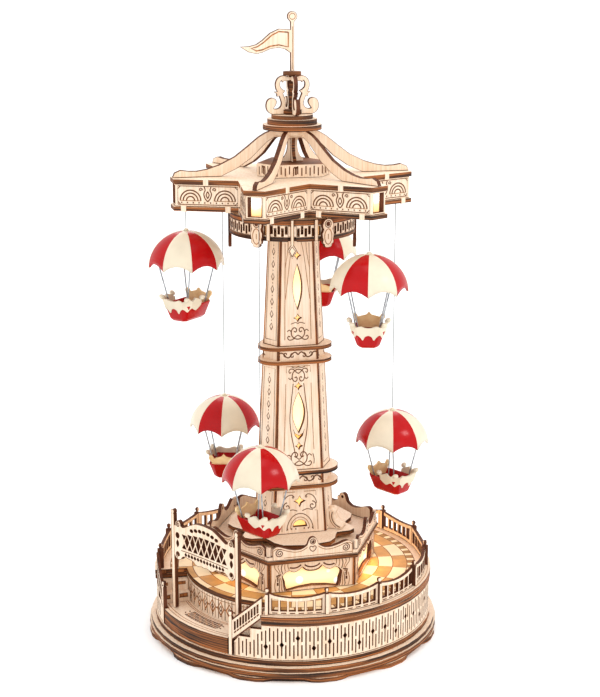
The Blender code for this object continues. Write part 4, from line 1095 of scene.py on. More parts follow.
def curtain_strokes():
    """Swags with painted shade in the gaps over them, tied curtains and the folds in both, for one window."""
    # The wide dark strokes over the swags, here and first in the right half, are painted shade in the gaps.
    middle = [
        ([(4.6, 54.9), (3.0, 53.7), (0.0, 53.1), (-3.0, 53.7), (-4.6, 54.9)], 0.7, EDGE),
        ([(5.9, 53.3), (3.6, 51.4), (0.0, 50.7), (-3.6, 51.4), (-5.9, 53.3)], 0.4, EDGE),
    ]
    right = [
        ([(6.8, 55.0), (8.4, 53.9), (10.6, 53.3), (13.1, 53.6)], 0.7, EDGE),
        ([(13.0, 53.4), (13.5, 54.0)], 0.9, BURN),
        ([(14.8, 56.4), (14.8, 54.4), (14.0, 52.5)], 0.35, FINE),
        ([(16.6, 56.2), (16.8, 54.0), (16.2, 51.8)], 0.35, FINE),
        ([(18.2, 56.4), (18.8, 53.6), (18.0, 50.3)], 0.4, BURN),
        ([(20.4, 56.0), (20.8, 54.4), (19.8, 52.2), (19.5, 50.8)], 0.35, FINE),
        ([(22.9, 56.4), (22.6, 54.2), (20.6, 51.4), (20.2, 50.2)], 0.35, FINE),
        ([(18.9, 50.0), (21.9, 49.2)], 0.7, BURN),
        ([(19.4, 48.9), (21.7, 48.3)], 0.5, FINE),
        ([(21.0, 48.6), (21.0, 45.6)], 0.6, BURN),
        ([(21.0, 45.2), (21.0, 43.2)], 1.0, EDGE),
        ([(19.4, 48.0), (18.6, 44.6), (18.6, 41.0), (18.2, 39.4)], 0.4, FINE),
        ([(20.2, 47.8), (19.8, 44.0), (20.2, 40.6), (19.7, 39.4)], 0.35, BURN),
        ([(22.0, 47.6), (22.8, 44.0), (22.6, 41.0), (22.0, 39.4)], 0.35, FINE),
        ([(17.9, 47.0), (17.5, 44.4), (17.2, 41.6), (16.5, 39.5)], 0.45, EDGE),
    ]
    counter = [([(0.0, 41.3), (8.7, 40.6), (15.6, 39.3)], 0.3, FINE)]
    return curved(middle) + both(curved(right + counter))


def make_booth():
    path = hexagon(BOOTH_APOTHEM, BOOTH_TURN)
    side = path_length(path, True) / 6.0
    windows, strokes = [], []
    for i in range(6):
        middle = side * (i + 0.5)
        windows.append(booth_window(middle))
        strokes += moved(curtain_strokes(), middle, 0.0)
        for corner, inwards in ((side * i, 1.0), (side * (i + 1), -1.0)):
            for shift, width, tone in ((0.4, 0.6, BURN), (1.2, 0.7, TOAST)):
                place = corner + inwards * shift
                strokes.append(([(place, BOOTH_WALL[0]), (place, BOOTH_WALL[1])], width, tone))
    outline = rectangle(0.0, BOOTH_WALL[0], side * 6.0, BOOTH_WALL[1])
    bm = wrap(sheet(outline, windows, BOOTH_THICKNESS, strokes), path, BOOTH_THICKNESS, closed=True)
    put("booth_panels", bm, PLY, replaces=["booth_walls"])
    paint("booth_film", "booth_window_liner")
    paint("plate_wood", "booth_ledge", "booth_roof_plate")
    make_fascia()


def make_fascia():
    """The cornice boards: a ball between two cheeks, waves to both sides of it and a scroll at each end."""
    path = hexagon(FASCIA_APOTHEM, BOOTH_TURN + 180.0)
    thickness = 2.0
    side = path_length(path, True) / 6.0
    low = LEDGE_TOP + 0.3
    web = 62.0
    middle = side / 2.0
    ball = (0.0, 69.4)
    wave = [(24.3, 66.6), (22.6, 67.8), (20.9, 68.0), (18.4, 67.3), (16.1, 66.4), (12.0, 65.3), (9.0, 65.1)]
    wave = smooth(wave + [(6.6, 65.5), (4.2, 66.8), (3.4, 67.6)], 3)
    crown = [(3.0, 68.7), (2.6, 69.8), (2.0, 71.0), (1.0, 71.8)]
    half_board = [(0.0, web), (middle - 24.5, web)] + [(middle - x, z) for x, z in wave + crown]
    under = [(x, z - 1.3) for x, z in wave[1:]]
    heart = [(0.0, 65.8), (0.7, 66.5), (1.7, 66.3), (1.9, 65.1), (1.1, 63.9), (0.0, 63.2)]
    board = [(under, 0.35, FINE), (smooth(heart), 0.35, EDGE)]
    board += [(ring_arc((20.1, 63.9), 2.6, 120.0, 120.0 - 700.0, 30, 0.4), 0.4, EDGE)]
    board = both(board + [([(24.1, low + 0.2), (24.1, 66.2)], 0.25, FINE)])
    board += [([(-17.6, low + 1.1), (24.0, low + 1.1)], 0.3, FINE)]
    board += [(ring_arc(ball, 1.6, 0.0, 360.0, 14), 0.35, EDGE)]
    top, strokes, holes = [], [], []
    for i in range(6):
        left = side * i
        top += [(left + x, z) for x, z in half_board]
        top += [(left + middle, 72.0)]
        top += [(left + side - x, z) for x, z in reversed(half_board[1:])]
        holes.append([(left + middle + x, z) for x, z in ring_arc(ball, 0.95, 0.0, 360.0, 12)[:-1]])
        strokes += moved(board, left + middle, 0.0)
    end = side * 6.0 - 0.2
    outline = [(end, low), (0.1, low), (0.1, web)] + top[1:] + [(end, web)]
    bm = wrap(sheet(outline, holes, thickness, strokes), path + [path[0]], thickness)
    parts = [bm]
    for i in range(6):
        corner = Vector(path[i])
        outwards = corner.normalized()
        along = Vector((-outwards.y, outwards.x))
        parts.append(block(corner - outwards * 1.6, along, 2.4, outwards, 1.6, low, 67.4))
    put("booth_cornice", parts, PLY, replaces=["booth_fascia"])


# Column.


def column_tube(levels, holes, wide_strokes, narrow_strokes):
    """A storey of the column: six faces, wide and narrow in turn, that lean inwards as they rise."""
    low_radius, high_radius = column_radius(levels[0]), column_radius(levels[1])
    path = column_hexagon(low_radius)
    wide = 2.0 * low_radius * math.sin(math.radians(WIDE_HALF_ANGLE))
    narrow = 2.0 * low_radius * math.sin(math.radians(NARROW_HALF_ANGLE))
    loops, strokes, corner_strips = [], [], []
    for i in range(3):
        middle = wide / 2.0 + (wide + narrow) * i
        loops += [[(middle + x, z) for x, z in hole] for hole in holes]
        strokes += moved(wide_strokes, middle, 0.0)
        strokes += moved(narrow_strokes, middle + (wide + narrow) / 2.0, 0.0)
        for corner, side in ((middle + wide / 2.0, 1.0), (middle + wide / 2.0 + narrow, -1.0)):
            # At each corner, toasted strips for the cut edges where the panels meet, and between them a dark
            # strip painted as the shadow in the seam.
            for shift, width, tone in ((0.6, 0.85, TOAST), (-0.45, 0.7, EDGE), (-1.05, 0.3, TOAST)):
                place = (corner + side * shift) % (3.0 * (wide + narrow))
                corner_strips.append(([(place, levels[0]), (place, levels[1])], width, tone))
    outline = rectangle(0.0, levels[0], 3.0 * (wide + narrow), levels[1])
    flat = sheet(outline, loops, COLUMN_THICKNESS, strokes)
    engrave(flat, corner_strips, -STRIP_LIFT)
    bm = wrap(flat, path, COLUMN_THICKNESS, closed=True)
    for vert in bm.verts:
        share = (vert.co.z - levels[0]) / (levels[1] - levels[0])
        scale = 1.0 + (high_radius / low_radius - 1.0) * share
        vert.co.x *= scale
        vert.co.y *= scale
    return bm


def consoles():
    """Scrolled brackets at the foot of the column's narrow faces."""
    half = 4.6
    profile = [(22.0, 65.0), (32.4, 65.0), (32.2, 66.2), (29.6, 67.4), (27.8, 69.6), (27.0, 72.4)]
    profile += [(27.6, 74.6), (27.2, 76.0), (25.8, 76.6), (22.0, 76.0)]
    lines = [(smooth([(31.2, 65.9), (28.6, 67.4), (26.9, 69.6), (26.1, 72.4), (26.5, 75.4)]), 0.4)]
    lines += [(smooth([(29.0, 65.6), (26.6, 67.6), (25.0, 70.8), (24.6, 75.6)]), 0.35, FINE)]
    parts = []
    for face in WIDE_FACES:
        bm = coloured(sheet(profile, [], 2.0 * half), FACE)
        for level in (-LINE_LIFT, 2.0 * half + LINE_LIFT):
            engrave(bm, lines, level)
        direction = math.radians(face + 60.0)
        for vert in bm.verts:
            radius, level, across = vert.co
            x, y = polar(radius, face + 60.0)
            sideways = across - half
            vert.co = (x + sideways * math.cos(direction), y + sideways * math.sin(direction), level)
        bmesh.ops.recalc_face_normals(bm, faces=bm.faces)
        parts.append(bm)
    return parts


def rosette_column(low, high, pitch, half_width):
    """Ornament of a narrow face: lozenges and dots in a frame."""
    strokes = frame_line(-half_width, low, half_width, high, 0.3)
    count = int((high - low - 4.0) / pitch)
    start = (low + high) / 2.0 - pitch * (count - 1) / 2.0
    for i in range(count):
        z = start + pitch * i
        lozenge = [(0.0, z - 2.1), (1.3, z), (0.0, z + 2.1), (-1.3, z), (0.0, z - 2.1)]
        strokes.append((lozenge, 0.45))
        strokes += dots([(0.0, z + pitch / 2.0)], 0.6)
    return strokes


def lyre(base, way, grow=1.0):
    """A pair of scrolls that rise from one foot, with a smaller pair that curls out below them."""
    main = [(0.0, 0.0), (2.2, 0.6), (3.9, 2.4), (4.3, 4.8), (3.3, 6.9), (1.7, 7.2), (0.8, 5.9), (1.5, 4.6)]
    main += [(2.6, 5.2)]
    low = [(0.0, 2.6), (1.6, 1.6), (3.6, -0.1), (5.6, -0.2), (6.6, 1.0), (6.0, 2.2), (5.0, 1.6)]
    leaf = [(4.3, 4.8), (5.5, 6.0), (6.9, 5.0)]
    strokes = []
    for path, width in ((main, 0.5), (low, 0.45), (leaf, 0.4)):
        strokes.append((smooth([(x * grow, base + way * z * grow) for x, z in path]), width))
    return both(strokes)


def make_lower_storey():
    """A star over a half-round window under an arch, with scrolls beside them and brackets at the foot."""
    half_round = [(x, 68.7 + z * 0.95) for x, z in ring_arc((0.0, 0.0), 4.4, 0.0, 180.0, 14)]
    star_hole = [(0.0, 87.9), (1.1, 85.8), (3.9, 84.6), (1.1, 83.2), (0.0, 80.8), (-1.1, 83.2), (-3.9, 84.6)]
    star_hole += [(-1.1, 85.8)]
    arch = [(x, 66.5 + z * 1.26) for x, z in ring_arc((0.0, 0.0), 8.2, 0.0, 180.0, 20)]
    inner_arch = [(x, 67.4 + z * 1.2) for x, z in ring_arc((0.0, 0.0), 6.0, 0.0, 180.0, 18)]
    hook = smooth([(4.2, 87.8), (5.4, 88.6), (8.0, 88.0), (10.2, 85.6), (11.0, 82.6)])
    sweep = smooth([(8.4, 78.6), (4.6, 79.4), (1.6, 78.4)])
    side = scroll((8.2, 81.3), 2.8, 90.0, -430.0, 0.5) + [(hook, 0.4), (sweep, 0.35)]
    side += scroll((4.4, 87.2), 0.8, 90.0, 400.0)
    side += [([(11.2, 66.1), (11.2, 78.2), (9.6, 78.2)], 0.3, FINE)]
    side += [([(3.0, 90.4), (10.8, 90.4), (10.8, 87.4)], 0.3, FINE)]
    side += [([(x * 2.6, 66.9), (x * 2.6, 68.0)], 0.5) for x in range(1, 4)]
    wide = [(arch, 0.35), (inner_arch, 0.3, FINE)] + both(side)
    narrow = rosette_column(66.6, 90.8, 7.4, 6.2)
    lower = column_tube(LOWER_STOREY, [star_hole, half_round], wide, narrow)
    put("column_storey_low", [lower] + consoles(), PLY, replaces=["column_lower_storey"])


def make_middle_storey():
    """A tall window between two stars and over a chevron, inside the lines of a vase."""
    chevron = [(-3.5, 129.0), (-2.6, 126.6), (0.0, 125.0), (2.6, 126.6), (3.5, 129.0), (2.4, 125.0)]
    chevron += [(0.0, 122.6), (-2.4, 125.0)]
    holes = [four_point_star((0.0, 118.7), 2.5, 2.5), chevron, lens(0.0, 126.6, 151.9, 4.2)]
    holes.append(four_point_star((0.0, 155.3), 2.9, 2.5))
    vase = [(3.6, 157.0), (4.9, 146.0), (5.8, 136.0), (5.0, 127.0), (3.6, 120.0), (2.0, 112.6), (0.0, 110.4)]
    side = [(smooth(vase), 0.4), (smooth([(9.1, 107.2), (9.3, 110.4), (8.6, 113.6)]), 0.35)]
    side += [([(8.4, 163.6), (8.4, 167.4), (0.0, 167.4)], 0.3, FINE)]
    side += [([(8.7, 157.0), (8.7, 150.0), (9.2, 121.0)], 0.3, FINE)]
    side += [([(9.2, 121.0), (9.4, 116.0)], 0.3, FINE)]
    side += [(smooth([(0.0, 167.0), (2.4, 166.4), (4.8, 167.2)]), 0.3)]
    wide = both(side) + lyre(165.6, -1.0) + lyre(106.6, 1.0, 1.15)
    middle = column_tube(MIDDLE_STOREY, holes, wide, rosette_column(107.0, 166.0, 7.4, 5.4))
    put("column_storey_middle", middle, PLY, replaces=["column_middle_storey"])


def make_upper_storey():
    """A slimmer window between two stars, with long lines that run up beside it."""
    holes = [four_point_star((0.0, 196.3), 2.7, 2.5), lens(0.0, 201.0, 228.4, 3.2)]
    holes.append(four_point_star((0.0, 233.2), 2.7, 2.7))
    side = [(smooth([(0.0, 193.0), (1.6, 193.6), (4.4, 192.8)]), 0.3)]
    side += [([(8.0, 183.4), (8.5, 240.5)], 0.35, FINE)]
    side += [(smooth([(7.9, 207.5), (6.4, 220.0), (4.7, 233.3), (3.0, 241.0)]), 0.3, FINE)]
    side += [(smooth([(8.3, 226.0), (6.6, 236.0), (6.4, 243.0)]), 0.3, FINE)]
    wide = both(side) + lyre(183.6, 1.0, 0.95)
    upper = column_tube(UPPER_STOREY, holes, wide, rosette_column(183.0, 243.0, 7.4, 4.6))
    put("column_storey_high", upper, PLY, replaces=["column_upper_storey"])


def make_collars():
    """The two bands of the column: a vine frieze between rounded plates."""
    for name, levels, plate, apothem, reach in (
        ("lower", LOWER_BAND, 2.4, 20.5, 28.0), ("upper", UPPER_BAND, 2.2, 17.4, 23.8),
    ):
        middle = (levels[0] + levels[1]) / 2.0
        size = (levels[1] - levels[0]) / 5.2
        vine = [(size * 0.9 * k, middle + size * 0.8 * math.sin(1.4 * k)) for k in range(9)]
        frieze = both([(smooth(vine), 0.6)])
        for k, side in ((1.7, -1.0), (3.7, 1.0), (5.8, -1.0)):
            centre = (size * k, middle + side * size * 0.25)
            frieze += both(scroll(centre, size * 0.75, -90.0 * side, 300.0 * side, 0.5))
        parts = [column_tube(levels, [], frieze, [])]
        for low, high in ((levels[0], levels[0] + plate), (levels[1] - plate, levels[1])):
            hole = column_radius((low + high) / 2.0) - COLUMN_THICKNESS / 2.0
            parts.append(rounded_triangle(apothem, reach, hole, low + 0.05, high - 0.05))
        put(f"column_collar_{name}", parts, PLY, replaces=[f"column_{name}_band"])


def rounded_triangle(apothem, reach, hole_radius, low, high):
    """A plate with three rounded corners and the column's section cut out of it."""
    corner = 2.0 * apothem - reach
    centre = reach - corner
    points = []
    for face in WIDE_FACES:
        middle = polar(centre, face + 60.0)
        for i in range(17):
            x, y = polar(corner, face + 7.5 * i)
            points.append((middle[0] + x, middle[1] + y))
    bm = sheet(points, [column_hexagon(hole_radius)], high - low)
    bmesh.ops.translate(bm, vec=(0.0, 0.0, low), verts=bm.verts)
    for face in bm.faces:
        if face.material_index == EDGE:
            face.material_index = LAYERS
    return bm


def make_column_light():
    """Frosted film behind the column's windows."""
    parts = []
    for levels in (LOWER_STOREY, MIDDLE_STOREY, UPPER_STOREY):
        rings = []
        bm = bmesh.new()
        for level in levels:
            radius = column_radius(level) - COLUMN_THICKNESS - 0.9
            rings.append([bm.verts.new((x, y, level)) for x, y in column_hexagon(radius)])
        for i in range(6):
            j = (i + 1) % 6
            bm.faces.new((rings[0][i], rings[0][j], rings[1][j], rings[1][i]))
        parts.append(bm)
    put("column_film", parts, ["shaft_film"])


# Gallery and star.


def cartouche_outline():
    half = [(0.0, 241.9), (1.4, 242.0), (2.4, 242.8), (2.3, 243.7), (3.2, 244.1), (3.6, 245.3), (3.2, 246.4)]
    half += [(3.7, 248.0), (3.9, 250.0), (3.3, 251.1), (2.9, 252.4), (3.5, 253.6), (3.6, 255.0), (3.0, 256.6)]
    half += [(1.8, 257.8)]
    return half + [(0.0, 258.3)] + [(-x, z) for x, z in reversed(half[1:])]


def make_gallery():
    """A comb of slots round the wall, posts in front of it, pendants under it and a shield by each front."""
    quarter = (0.0, 90.0, 180.0, 270.0)
    shields = (-31.5, 31.5, 148.5, 211.5)
    low, high = GALLERY_PANEL
    path = arc(PANEL_OUTER, GALLERY_TURN, GALLERY_TURN + 360.0, 72)[:-1]
    total = path_length(path, True)
    per_degree = total / 360.0
    slots = []
    for front in (0.0, 180.0):
        for side in (-1.0, 1.0):
            slots += [(front + side * (5.4 + 3.3 * i)) % 360.0 for i in range(5)]
            slots += [(front + side * (38.4 + 3.6 * i)) % 360.0 for i in range(13)]
    holes, lamps = [], []
    for i, turn in enumerate(sorted(slots)):
        x = turn * per_degree
        shift = 1.3 * (i % 2)
        holes.append(rectangle(x - 0.65, low + 0.4 + shift, x + 0.65, high - 1.7 + shift))
    for turn in shields:
        for side in (-6.9, 6.9):
            x = (turn + side) % 360.0 * per_degree
            holes.append(rectangle(x - 0.7, low + 0.8, x + 0.7, high - 0.8))
            lamp = sheet(rectangle(-1.3, low + 0.3, 1.3, high - 0.3), [], 0.4)
            lamps.append(stand(lamp, GALLERY_TURN + turn + side, PANEL_OUTER - PANEL_THICKNESS - 0.6))
    outline = rectangle(0.0, low, total, high)
    parts = [wrap(sheet(outline, holes, PANEL_THICKNESS), path, PANEL_THICKNESS, closed=True)]
    for turn in quarter:
        pendant = [(-0.9, 257.9), (-0.9, 244.6), (-0.5, 243.8), (-2.6, 240.5), (0.0, 236.2), (2.6, 240.5)]
        pendant += [(0.5, 243.8), (0.9, 244.6), (0.9, 257.9)]
        lines = [([(0.0, 237.2), (1.8, 240.5), (0.0, 243.0), (-1.8, 240.5), (0.0, 237.2)], 0.35)]
        lines += both([([(0.7, 244.8), (0.7, 257.6)], 0.1, FINE)])
        parts.append(stand(sheet(pendant, [], 1.9, lines), GALLERY_TURN + turn, PANEL_OUTER + 1.0))
        back = sheet(rectangle(-2.3, low + 0.5, 2.3, high - 0.5), [], 0.6)
        parts.append(stand(back, GALLERY_TURN + turn, PANEL_OUTER + 0.5))
        if turn in (0.0, 180.0):
            for side in (-21.3, 21.3):
                post = sheet(rectangle(-1.0, 245.9, 1.0, 257.9), [], 1.2)
                parts.append(stand(post, GALLERY_TURN + turn + side, PANEL_OUTER + 1.0))
    boss = (0.0, 255.3)
    for turn in shields:
        azimuth = GALLERY_TURN + turn
        lines = [(ring_arc(boss, 0.65, 0.0, 360.0, 12), 1.3, EDGE)]
        lines += [(ring_arc(boss, 2.0, 0.0, 360.0, 16), 0.3)]
        oval = [(x * 2.4, 248.1 + z * 4.4) for x, z in ring_arc((0.0, 0.0), 1.0, 0.0, 360.0, 20)]
        lines += [(oval, 0.35, TOAST), ([(0.0, 246.6), (0.0, 249.6)], 0.4, FINE)]
        parts.append(stand(sheet(cartouche_outline(), [], 1.7, lines), azimuth, 38.9))
        back = sheet(rectangle(-2.0, low + 1.0, 2.0, high - 1.0), [], 2.2)
        parts.append(stand(back, azimuth, 37.6))
    put("gallery_wall", parts, PLY, replaces=["gallery_panels"])
    put("gallery_lamps", lamps, ["amber_film"] * 2)
    paint("plate_wood", "gallery_floor", "gallery_roof")


def rainbow(middle, low):
    """Three nested arches on a short sill."""
    arches = [(ring_arc((middle, low), radius, 0.0, 180.0, 16), 0.6) for radius in (6.0, 4.3, 2.4)]
    return arches + [([(middle - 6.0, low), (middle + 6.0, low)], 0.3, FINE)]


def star_side_strokes(length):
    """One side of an arm: a frame, an arch at each end, a tulip between them and a row of dots below."""
    low, high = STAR_WALL
    edge = length / 2.0 - 1.4
    base, top = low + 1.0, high - 0.9
    strokes = frame_line(-edge, base, edge, top, 0.3)
    strokes += both([([(edge - 1.6, z), (edge, z + rise)], 0.3) for z, rise in ((base, 1.6), (top, -1.6))])
    strokes += both(rainbow((edge + 2.6) / 2.0, low + 3.2))
    strokes += dots([(-edge + 2.2 + i * (2.0 * edge - 4.4) / 9.0, low + 2.1) for i in range(10)], 0.7)
    tulip = [(0.0, low + 2.8), (1.5, low + 4.6), (2.2, low + 7.2), (1.4, low + 9.4), (2.0, high - 1.2)]
    heart = [(0.0, low + 4.6), (0.9, low + 6.6), (0.0, low + 8.6)]
    strokes += both([(smooth(tulip), 0.5), (smooth(heart), 0.45)])
    strokes += both(scroll((4.0, low + 9.6), 1.1, 200.0, -440.0, 0.35))
    return strokes


def make_star():
    """The walls of the star, with a window at each arm's tip and tabs that lock into floor and roof."""
    outline = star(TIP_RADIUS, TIP_HALF_WIDTH, NOTCH_RADIUS)
    path = offset_corners(outline, STAR_WALL_SETBACK, True)
    low, high = STAR_WALL
    windows, strokes, tabs = [], [], []
    place = 0.0
    corners = [Vector(point) for point in path + path[:1]]
    rims = [Vector(point) for point in outline + outline[:1]]
    foot_tab = (STAR_FLOOR[0] - 0.4, low + 0.4)
    head_tab = (high - 0.4, STAR_ROOF[1] + 0.4)
    for i in range(len(path)):
        length = (corners[i + 1] - corners[i]).length
        if i % 3 == 0:
            windows.append(rectangle(place + 1.2, low + 0.8, place + length - 1.2, high - 0.8))
        else:
            strokes += moved(star_side_strokes(length), place + length / 2.0, 0.0)
            along = (rims[i + 1] - rims[i]).normalized()
            outwards = Vector((along.y, -along.x))
            for share, tab in ((0.5, head_tab), (0.15, foot_tab), (0.84, foot_tab)):
                centre = rims[i].lerp(rims[i + 1], share) - outwards * 0.6
                tabs.append(block(centre, along, 3.0, outwards, 1.4, *tab))
        place += length
    wall = sheet(rectangle(0.0, low, place, high), windows, STAR_WALL_THICKNESS, strokes)
    wall = wrap(wall, path, STAR_WALL_THICKNESS, closed=True)
    put("star_panels", [wall] + tabs, PLY, replaces=["star_walls"])
    paint("amber_film", "star_window_film")
    paint("plate_wood", "star_floor", "star_roof_plate")


def block(centre, along, width, across, depth, low, high):
    """A small upright block."""
    bm = bmesh.new()
    layers = []
    for level in (low, high):
        ring = []
        for a, b in ((-1, -1), (1, -1), (1, 1), (-1, 1)):
            point = centre + along * (a * width / 2.0) + across * (b * depth / 2.0)
            ring.append(bm.verts.new((point.x, point.y, level)))
        layers.append(ring)
    bm.faces.new(layers[0])
    bm.faces.new(layers[1])
    for i in range(4):
        j = (i + 1) % 4
        bm.faces.new((layers[0][i], layers[0][j], layers[1][j], layers[1][i]))
    bmesh.ops.recalc_face_normals(bm, faces=bm.faces)
    return bm


def make_roof():
    """The drum's comb of engraved lines, and the six curved ribs that run up to the hub."""
    low, high = DRUM
    path = column_hexagon(22.0)
    total = path_length(path, True)
    comb = []
    count = 54
    for i in range(count):
        x = total * (i + 0.5) / count
        a, b = ((low + 0.8, high - 1.8), (low + 1.8, high - 0.8))[i % 2]
        comb.append(([(x, a), (x, b)], 0.55))
    for corner in range(6):
        x = total * (corner + 0.56) / 6.0
        comb.append(([(x - 1.2, high - 1.6), (x + 1.2, high - 1.6)], 0.8))
        comb.append(([(x, high - 1.6), (x, low + 1.4)], 0.9))
    skin = bmesh.new()
    engrave(skin, comb, -LINE_LIFT)
    put("drum_comb", wrap(skin, path, 1.0, closed=True), PLY[:3])
    paint("wall_wood", "roof_drum")
    foot = STAR_ROOF[1] + 0.3
    hub = [(8.0, 300.8), (11.0, 302.6), (11.0, 304.8)]
    rib = [(3.0, 304.8), (12.0, 304.8), (16.3, 303.1), (20.0, 300.9), (26.5, 295.7), (34.0, 290.0)]
    rib += [(43.0, 285.6), (50.0, 283.4), (56.0, 282.4), (61.0, 282.5), (65.5, 283.2), (69.0, 281.8)]
    rib += [(70.2, foot), (42.0, foot), (33.0, 283.4), (24.5, 289.2), (15.5, 298.0), (11.0, 300.8)]
    rib += [(3.0, 300.8)]
    thickness = 2.4
    parts = [lathe(hub, 48)]
    for azimuth in ARM_AZIMUTHS:
        parts.append(stand(centred(sheet(rib, [], thickness), thickness), azimuth - 90.0))
    put("roof_fins", parts, PLY, replaces=["roof_ribs"])
    paint("fin_wood", "roof_pedestal")
    paint("plate_wood", "crown_discs")
    make_finial()


def make_finial():
    """Two crossed plates of leafy scrolls round a post, with a block at its foot and a collar on top."""
    outer = smooth([(0.9, 334.6), (3.0, 335.0), (4.9, 335.5), (7.2, 335.0), (9.1, 333.3), (9.9, 330.6),
                    (9.5, 327.9)])
    outer += [(8.7, 326.4), (10.6, 326.4), (9.0, 325.2), (9.1, 323.8), (7.7, 324.2)]
    outer += smooth([(6.9, 322.0), (6.4, 319.7), (7.2, 317.7), (9.1, 316.7), (11.2, 317.0), (10.0, 318.9),
                     (9.4, 320.8), (10.3, 322.4), (12.5, 322.9), (14.6, 321.6), (15.4, 318.9), (14.9, 316.2),
                     (13.3, 314.4)])
    outer += [(11.7, 313.8), (0.9, 313.8), (0.9, 314.9), (4.6, 315.4)]
    outer += smooth([(4.2, 318.9), (4.4, 322.0), (4.9, 323.4), (5.7, 325.5)])
    outer += [(4.3, 326.9), (5.9, 327.7)]
    outer += smooth([(7.2, 329.0), (7.5, 331.4), (6.5, 333.0)])
    outer += [(5.6, 331.7), (5.2, 332.6), (3.8, 332.5), (0.9, 333.0)]
    thickness = 2.2
    base, neck = CROWN_TOP + 0.3, 335.6
    foot = lathe([(5.8, base), (5.8, base + 2.4)], 8, material=LAYERS)
    post = lathe([(1.6, base), (1.6, neck)], 8, material=LAYERS)
    collar = lathe([(1.6, neck), (5.2, neck), (5.2, neck + 2.2), (0.6, neck + 2.2)], 24, material=LAYERS)
    parts = [foot, post, collar]
    for turn in (0.0, 90.0):
        for mirror in (1.0, -1.0):
            plate = sheet([(mirror * x, z) for x, z in outer], [], thickness)
            parts.append(stand(centred(plate, thickness), turn))
    put("leaf_scrolls", parts, PLY, replaces=["scroll_finial"])


def make_flag():
    """A pole with a pennant and a ball, cut from one sheet and engraved on both sides."""
    thickness = 1.8
    low = 338.1
    half = 0.9
    ball = (0.0, 368.6)
    outline = [(-half, low), (half, low), (half, 363.6), (half, 365.4)]
    outline += ring_arc(ball, 2.7, -60.0, 240.0, 20)
    outline += [(-half, 365.4), (-half, 361.2), (-7.9, 361.6), (-12.9, 359.3), (-17.4, 355.4)]
    outline += [(-20.8, 353.1), (-24.8, 352.1), (-30.0, 351.9), (-25.3, 349.0), (-20.8, 348.0)]
    outline += [(-17.4, 348.8), (-12.9, 350.7), (-7.9, 351.4), (-4.0, 350.4), (-half, 348.3)]
    border = [(-2.4, 359.8), (-7.9, 360.2), (-12.0, 358.2), (-16.8, 354.2), (-20.4, 351.9), (-24.0, 351.0)]
    border += [(-20.8, 349.6), (-17.4, 350.2), (-12.9, 352.1), (-7.9, 352.8), (-2.4, 351.6), (-2.4, 359.8)]
    lines = [(border, 0.6, TOAST), ([(0.0, low + 1.0), (0.0, 363.0)], 0.3, FINE)]
    lines.append((ring_arc(ball, 1.7, 0.0, 360.0, 16), 0.3, FINE))
    bm = sheet(outline, [], thickness, lines)
    engrave(bm, lines, thickness + LINE_LIFT)
    put("pennant", stand(centred(bm, thickness), 0.0), PLY, replaces=["flag_pole"])


# Parachutes.


def canopy_point(turn, share, shrink):
    """A point of the canopy: each gore pulls in between its seams, the more so near the rim."""
    gore = 360.0 / GORES
    across = abs((turn % gore) / gore * 2.0 - 1.0)
    bulge = 1.0 - across * across
    sweep = share * math.pi / 2.0
    radius = CANOPY_RADIUS * math.sin(sweep) * (1.0 - 0.05 * bulge * share)
    drop = CANOPY_HEIGHT * (1.0 - math.cos(sweep)) * (1.0 - 0.16 * bulge * share ** 3)
    inward = 1.0 - shrink / CANOPY_RADIUS
    x, y = polar(radius * inward, turn)
    return Vector((x, y, -drop - shrink * (1.0 - share)))


def canopy_shell(first_red):
    """Eight gores, red and cream in turn, with a raised ridge along each seam that is painted cream as a
    highlight, a cream tip and a thin rim.
    """
    places = (0.0, 0.02, 0.1, 0.24, 0.41, 0.59, 0.76, 0.9, 0.98)
    per_gore = len(places)
    turns = [(gore + place) * 360.0 / GORES for gore in range(GORES) for place in places]
    count = len(turns)
    rings = 12
    bm = bmesh.new()
    layers = []
    for shrink in (0.0, CANOPY_WALL):
        layer = [[bm.verts.new(canopy_point(0.0, 0.0, shrink))]]
        for k in range(1, rings + 1):
            ring = []
            for i, turn in enumerate(turns):
                point = canopy_point(turn, k / rings, shrink)
                if i % per_gore == 0 and shrink == 0.0:
                    point *= 1.012
                ring.append(bm.verts.new(point))
            layer.append(ring)
        layers.append(layer)

    def panel(verts, i, tip=False):
        face = bm.faces.new(verts)
        # Both sides of each seam are cream: a painted highlight along the ridge where the gores meet.
        seam = i % per_gore in (0, per_gore - 1)
        red = (i // per_gore) % 2 != int(first_red)
        face.material_index = CREAM if seam or tip or not red else RED
        face.smooth = True

    for layer in layers:
        for i in range(count):
            j = (i + 1) % count
            panel((layer[0][0], layer[1][i], layer[1][j]), i, True)
            for ring, below in zip(layer[1:], layer[2:]):
                panel((ring[i], below[i], below[j], ring[j]), i)
    for i in range(count):
        j = (i + 1) % count
        panel((layers[0][-1][i], layers[0][-1][j], layers[1][-1][j], layers[1][-1][i]), i)
    bmesh.ops.recalc_face_normals(bm, faces=bm.faces)
    return bm


def tub_loop(half_length, half_width, cut, level):
    """A rectangle with its corners cut off."""
    x, y = half_width, half_length
    corners = [(x - cut, -y), (x, -y + cut), (x, y - cut), (x - cut, y)]
    corners += [(-x + cut, y), (-x, y - cut), (-x, -y + cut), (-x + cut, -y)]
    return [Vector((a, b, level)) for a, b in corners]


